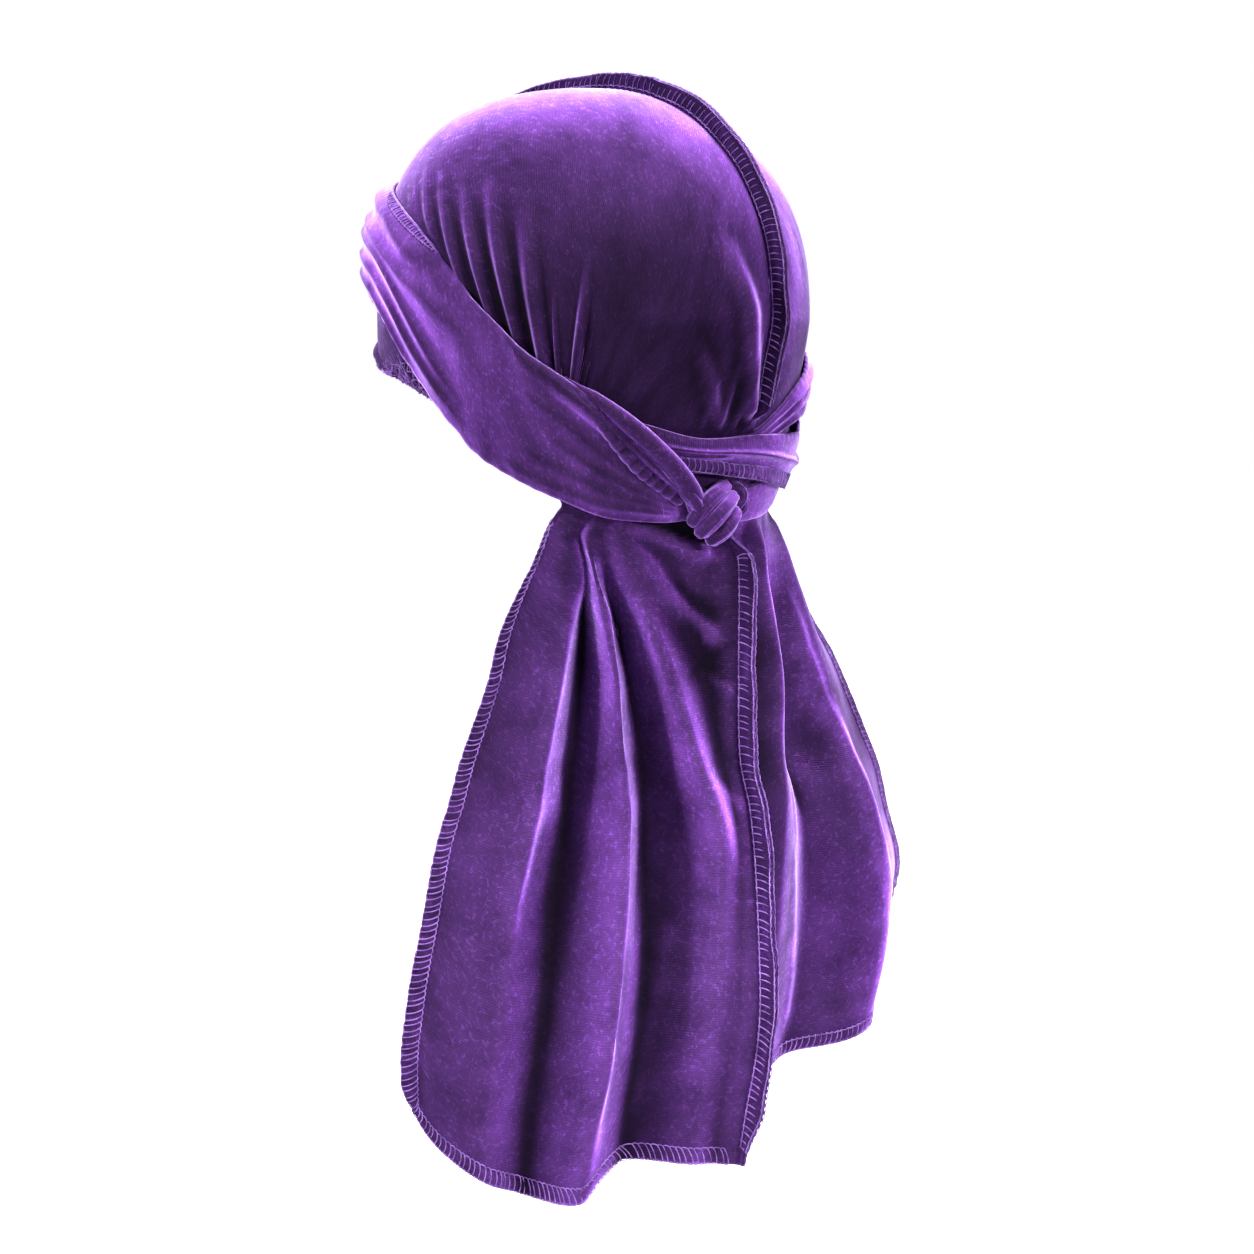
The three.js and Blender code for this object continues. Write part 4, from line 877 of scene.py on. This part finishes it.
# ---------------------------------------------------------------------------
# The knot, where the two ties cross below the band at the nape. Each strand
# is a tie drawn together into a soft rope with grooves along it.
# ---------------------------------------------------------------------------
# three points of each strand, to the wearer's right, up and outwards from the
# middle of the knot, in mm; then its half thickness
KNOT_STRANDS = [
    [[-13, -6, 1.5], [-9, 4, 8], [5, 10, 2.5], 3.6],
    [[-10, -10, 2], [-5.5, -2, 10], [8, 6, 3], 3.7],
    [[-5, -13, 2], [0, -7.5, 8.5], [9, 0, 3], 3.6],
    [[4, 11, 1.5], [11.5, 7, 4.5], [8.5, 0, 3], 2.6],
    [[7, -4, 2], [13, 1, 3.5], [7, 4, 2.5], 2.4],
    [[-21, 10, 5], [-16, 5, 7], [-11, -0.5, 5.5], 3.2],
]
KNOT_AZIMUTH, KNOT_LEVEL, KNOT_LIFT = 11, -178, 6
STRAND_RINGS, STRAND_SIDES = 48, 30


def strand_points(points, radius, phase):
    """Points of a grooved rope with rounded ends, ring by ring."""
    middle_of_knot = seat(KNOT_AZIMUTH, KNOT_LEVEL, KNOT_LIFT)
    n = head_normal(on_head(KNOT_AZIMUTH, KNOT_LEVEL))
    n[2] = 0
    n /= np.linalg.norm(n)
    up = np.array([0, 0, 1.0])
    right = np.cross(up, n)
    p0, p1, p2 = (middle_of_knot + right * r + up * u + n * o for r, u, o in points)
    s = np.linspace(0, 1, 60)[:, None]
    bow = 2 * p1 - (p0 + p2) / 2
    line = (1 - s) ** 2 * p0 + 2 * s * (1 - s) * bow + s**2 * p2
    length = run_along(line)
    total = length[-1]
    u = (1 - np.cos(np.linspace(0.03, math.pi - 0.03, STRAND_RINGS))) / 2 * total
    centre = on_line(line, length, u)
    e1, e2 = ring_axes(centre, n)
    ends = np.minimum(u, total - u) / radius
    r = radius * np.sqrt(np.clip(1 - np.maximum(0, 1 - ends) ** 2, 0, 1))
    v = np.linspace(0, 2 * math.pi, STRAND_SIDES, endpoint=False)[None, :]
    groove = 1 - 0.13 * np.abs(np.sin(3 * v + phase + 0.9 * (u / total)[:, None] * 2)) ** 3
    ring = r[:, None] * groove
    return centre[:, None] + e1 * (ring * np.cos(v))[..., None] + e2 * (ring * np.sin(v))[..., None]


strands = [strand_points(points, radius, 0.7 * number)
           for number, (*points, radius) in enumerate(KNOT_STRANDS)]
# painted light: the knot is painted brighter than the panels
knot = rope_object("knot_cloth", [(rings, 0.02, np.linspace(0, 0.03, len(rings)), 1.6) for rings in strands])
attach(knot, "root")
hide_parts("knot")

# ---------------------------------------------------------------------------
# The overlock thread. A finer, lighter purple thread runs in rungs across the
# raised seam and the turned hems, loops over their edges, and is drawn tight
# enough to pucker the velvet.
# ---------------------------------------------------------------------------
thread_material = bpy.data.materials.new("purple_thread")
thread_material.use_nodes = True
thread_tree = thread_material.node_tree
thread_shader = thread_tree.nodes["Principled BSDF"]
thread_shader.inputs["Roughness"].default_value = 0.6
thread_shader.inputs["Specular IOR Level"].default_value = 0.15
thread_place = add_node(thread_tree, "ShaderNodeTexCoord", {})
thread_uneven = add_node(thread_tree, "ShaderNodeTexNoise", {
    "Vector": thread_place.outputs["Object"], "Scale": 260.0})
thread_tone = add_node(thread_tree, "ShaderNodeValToRGB", {"Fac": thread_uneven.outputs["Fac"]})
dark_end, light_end = thread_tone.color_ramp.elements
dark_end.position, dark_end.color = 0.35, (0.075, 0.030, 0.145, 1)
light_end.position, light_end.color = 0.65, (0.21, 0.105, 0.36, 1)
thread_tree.links.new(thread_tone.outputs["Color"], thread_shader.inputs["Base Color"])

STITCH_LENGTH = 0.006     # m
LOOP, RUNG = 0, 1         # which instance a stitch is
STITCH_LIFT = 0.12        # mm above the cloth
SHORTEST_STITCH = 0.4     # mm

sewing = bpy.data.node_groups.new("overlock_stitches", "GeometryNodeTree")
sewing.interface.new_socket("Stitch places", in_out="INPUT", socket_type="NodeSocketGeometry")
usual_sizes = {"Thread thickness": 0.0005, "Rung bow": 0.0004, "Loop bow": 0.0011, "Stitch height": 0.0004}
for label, usual in usual_sizes.items():
    sewing.interface.new_socket(label, in_out="INPUT", socket_type="NodeSocketFloat").default_value = usual
sewing.interface.new_socket("Stitches", in_out="OUTPUT", socket_type="NodeSocketGeometry")
group_in = add_node(sewing, "NodeGroupInput", {})
half_thread = calculate(sewing, "MULTIPLY", group_in.outputs["Thread thickness"], 0.5)
thread_round = add_node(sewing, "GeometryNodeCurvePrimitiveCircle", {"Resolution": 5, "Radius": half_thread})
kinds = add_node(sewing, "GeometryNodeJoinGeometry", {})
for label in ("Loop bow", "Rung bow"):
    top = add_node(sewing, "ShaderNodeCombineXYZ", {
        "X": group_in.outputs[label], "Y": STITCH_LENGTH / 2, "Z": group_in.outputs["Stitch height"]})
    bent = add_node(sewing, "GeometryNodeCurveQuadraticBezier", {
        "Resolution": 5, "Start": (0, 0, 0), "Middle": top.outputs["Vector"], "End": (0, STITCH_LENGTH, 0)})
    strand = add_node(sewing, "GeometryNodeCurveToMesh", {
        "Curve": bent.outputs["Curve"], "Profile Curve": thread_round.outputs["Curve"], "Fill Caps": True})
    single = add_node(sewing, "GeometryNodeGeometryToInstance", {"Geometry": strand.outputs["Mesh"]})
    sewing.links.new(single.outputs["Instances"], kinds.inputs["Geometry"])
reads = {}
for label, data_type in (("kind", "INT"), ("turn", "FLOAT_VECTOR"), ("size", "FLOAT_VECTOR")):
    named = add_node(sewing, "GeometryNodeInputNamedAttribute", {"Name": label}, data_type=data_type)
    reads[label] = named.outputs["Attribute"]
turned = add_node(sewing, "FunctionNodeEulerToRotation", {"Euler": reads["turn"]})
place = add_node(sewing, "GeometryNodeInstanceOnPoints", {
    "Points": group_in.outputs["Stitch places"], "Instance": kinds.outputs["Geometry"], "Pick Instance": True,
    "Instance Index": reads["kind"], "Rotation": turned.outputs["Rotation"], "Scale": reads["size"]})
real = add_node(sewing, "GeometryNodeRealizeInstances", {"Geometry": place.outputs["Instances"]})
coat = add_node(sewing, "GeometryNodeSetMaterial", {
    "Geometry": real.outputs["Geometry"], "Material": thread_material})
soften = add_node(sewing, "GeometryNodeSetShadeSmooth", {"Geometry": coat.outputs["Geometry"]})
add_node(sewing, "NodeGroupOutput", {"Stitches": soften.outputs["Geometry"]})


def sew(name, stitches):
    """One piece of thread; each stitch has a kind, two ends and the way out of the cloth, in mm."""
    mesh = bpy.data.meshes.new(name + "_places")
    kind, start, end, out = (np.array(column) for column in zip(*stitches))
    y = end - start
    length = np.linalg.norm(y, axis=1)
    kept = length > SHORTEST_STITCH
    kind, start, out, y, length = (column[kept] for column in (kind, start, out, y, length))
    y = y / length[:, None]
    out = out - (out * y).sum(1)[:, None] * y
    out = out / np.linalg.norm(out, axis=1)[:, None]
    x = np.cross(y, out)
    axes = zip(x.tolist(), y.tolist(), out.tolist())
    turn = [Matrix(three).transposed().to_euler() for three in axes]
    mesh.from_pydata(((start + out * STITCH_LIFT) / 1000).tolist(), [], [])
    size = np.stack([0 * length + 1, length / 1000 / STITCH_LENGTH, 0 * length + 1], -1)
    mesh.attributes.new("kind", "INT", "POINT").data.foreach_set("value", np.ascontiguousarray(kind))
    mesh.attributes.new("turn", "FLOAT_VECTOR", "POINT").data.foreach_set("vector", np.array(turn).ravel())
    mesh.attributes.new("size", "FLOAT_VECTOR", "POINT").data.foreach_set("vector", size.ravel())
    thing = bpy.data.objects.new(name, mesh)
    scene.collection.objects.link(thing)
    modifier = thing.modifiers.new("stitches", "NODES")
    modifier.node_group = sewing
    made = bpy.data.meshes.new_from_object(thing.evaluated_get(bpy.context.evaluated_depsgraph_get()))
    thing.modifiers.remove(modifier)
    made.name = name
    thing.data = made
    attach(thing, "root")
    return thing


def ladder(inner_line, outer_line, out, pitch, jitter=0.35, seed=1, slant=0.3):
    """Rungs between two lines of points, with loops along both, evenly spaced along the outer line."""
    dice = np.random.default_rng(seed)
    run = run_along(outer_line)
    at = np.arange(0, run[-1] - pitch * 0.5, pitch)
    at = np.clip(at + dice.uniform(-jitter, jitter, len(at)) * pitch * 0.5, 0, run[-1])
    b, n = on_line(outer_line, run, at + slant * pitch), on_line(out, run, at)
    count = len(inner_line)
    fine_inner = on_line(inner_line, np.arange(count), np.linspace(0, count - 1, 8 * count))
    nearest = [np.argmin(((fine_inner - q) ** 2).sum(1)) for q in on_line(outer_line, run, at)]
    a = fine_inner[nearest]
    stitches = [(RUNG, p, q, m) for p, q, m in zip(b, a, n)]
    stitches += [(LOOP, b[i], b[i + 1], n[i]) for i in range(len(at) - 1)]
    stitches += [(RUNG, a[i + 1], a[i], n[i]) for i in range(len(at) - 1)]
    return stitches


cap_rows = len(CAP_ANGLES)
for side, panel_outer, word in ((1, left_outer, "left"), (-1, right_outer, "right")):
    panel_normal = side * grid_normals(panel_outer)
    sideways = np.tile([float(side), 0, 0], (len(panel_outer), 1))
    on_cap = slice(74, 236)
    on_cape = slice(cap_rows + 15, cap_rows + 174)
    seam = []
    for rows, pitch, seed in ((on_cap, 3.2, 3), (on_cape, 3.5, 4)):
        inner_line, outer_line = panel_outer[rows, 8], panel_outer[rows, 2]
        seam += ladder(inner_line, outer_line, sideways[rows], pitch, seed=seed, slant=0.55)
    sew(word + "_seam_thread", seam)
    # along the free edge of the cape and round its lower corner
    edge = np.concatenate([panel_outer[cap_rows + 8:-1, -1], panel_outer[-1, :11:-1]])
    edge_out = np.concatenate([panel_normal[cap_rows + 8:-1, -5], panel_normal[-3, :11:-1]])
    turned_in = np.concatenate([panel_outer[cap_rows + 8:-5, -8], panel_outer[-5, -8:11:-1]])
    sew(word + "_hem_thread", ladder(turned_in, edge, edge_out, pitch=2.8, seed=5, slant=0.9))

    # round the brow, under the ties, in crowded loops that crinkle the edge
    rows = slice(0, 94)
    outwards = panel_outer[rows, -5] - CENTRE
    outwards /= np.linalg.norm(outwards, axis=1, keepdims=True)
    lace = []
    for number, column in enumerate(range(-25, -1, 4)):
        inner_line, outer_line = (panel_outer[rows, k] + 0.3 * outwards for k in (column, column + 4))
        lace += ladder(inner_line, outer_line, outwards, pitch=2.3, jitter=0.9, seed=7 + number, slant=0.7)
    sew(word + "_brow_thread", lace)


def on_tie(tie, stops, azimuth, across):
    """A line on a tie, by azimuth and place across its width, with the way out of the cloth."""
    normal = grid_normals(tie)
    normal *= np.sign((normal * (tie - CENTRE)).sum())
    order = np.sign(stops[-1] - stops[0])
    row = np.interp(order * np.asarray(azimuth, float), order * stops, np.arange(len(stops)))
    column = np.asarray(across, float) * (tie.shape[1] - 1)
    i, j = np.minimum(row.astype(int), tie.shape[0] - 2), np.minimum(column.astype(int), tie.shape[1] - 2)
    f, g = (row - i)[:, None], (column - j)[:, None]
    points = ((tie[i, j] * (1 - g) + tie[i, j + 1] * g) * (1 - f)
              + (tie[i + 1, j] * (1 - g) + tie[i + 1, j + 1] * g) * f)
    return points, normal[i, j]


band = np.linspace(30, -33, 60)
upper_across = np.interp(-band, [-30, -27, -9, 23, 33], [0.52, 0.55, 0.68, 0.74, 0.76])
lower_across = np.interp(-band, [-30, -27, -9, 23, 33], [0.88, 0.92, 0.985, 0.985, 0.985])
band_upper, _ = on_tie(left_tie_outer, left_stops, band, upper_across)
band_lower, band_out = on_tie(left_tie_outer, left_stops, band, lower_across)
front = np.linspace(-232, -266, 50)
front_upper, front_out = on_tie(left_tie_outer, left_stops, front, 0 * front + 0.005)
braid = 0.01 + 0.065 * np.sin(np.linspace(0, math.pi, 50)) ** 0.6
front_lower, _ = on_tie(left_tie_outer, left_stops, front, braid)
sew("left_tie_thread", ladder(band_upper, band_lower, band_out, pitch=3.0, seed=8)
    + ladder(front_lower, front_upper, front_out, pitch=2.4, seed=9))
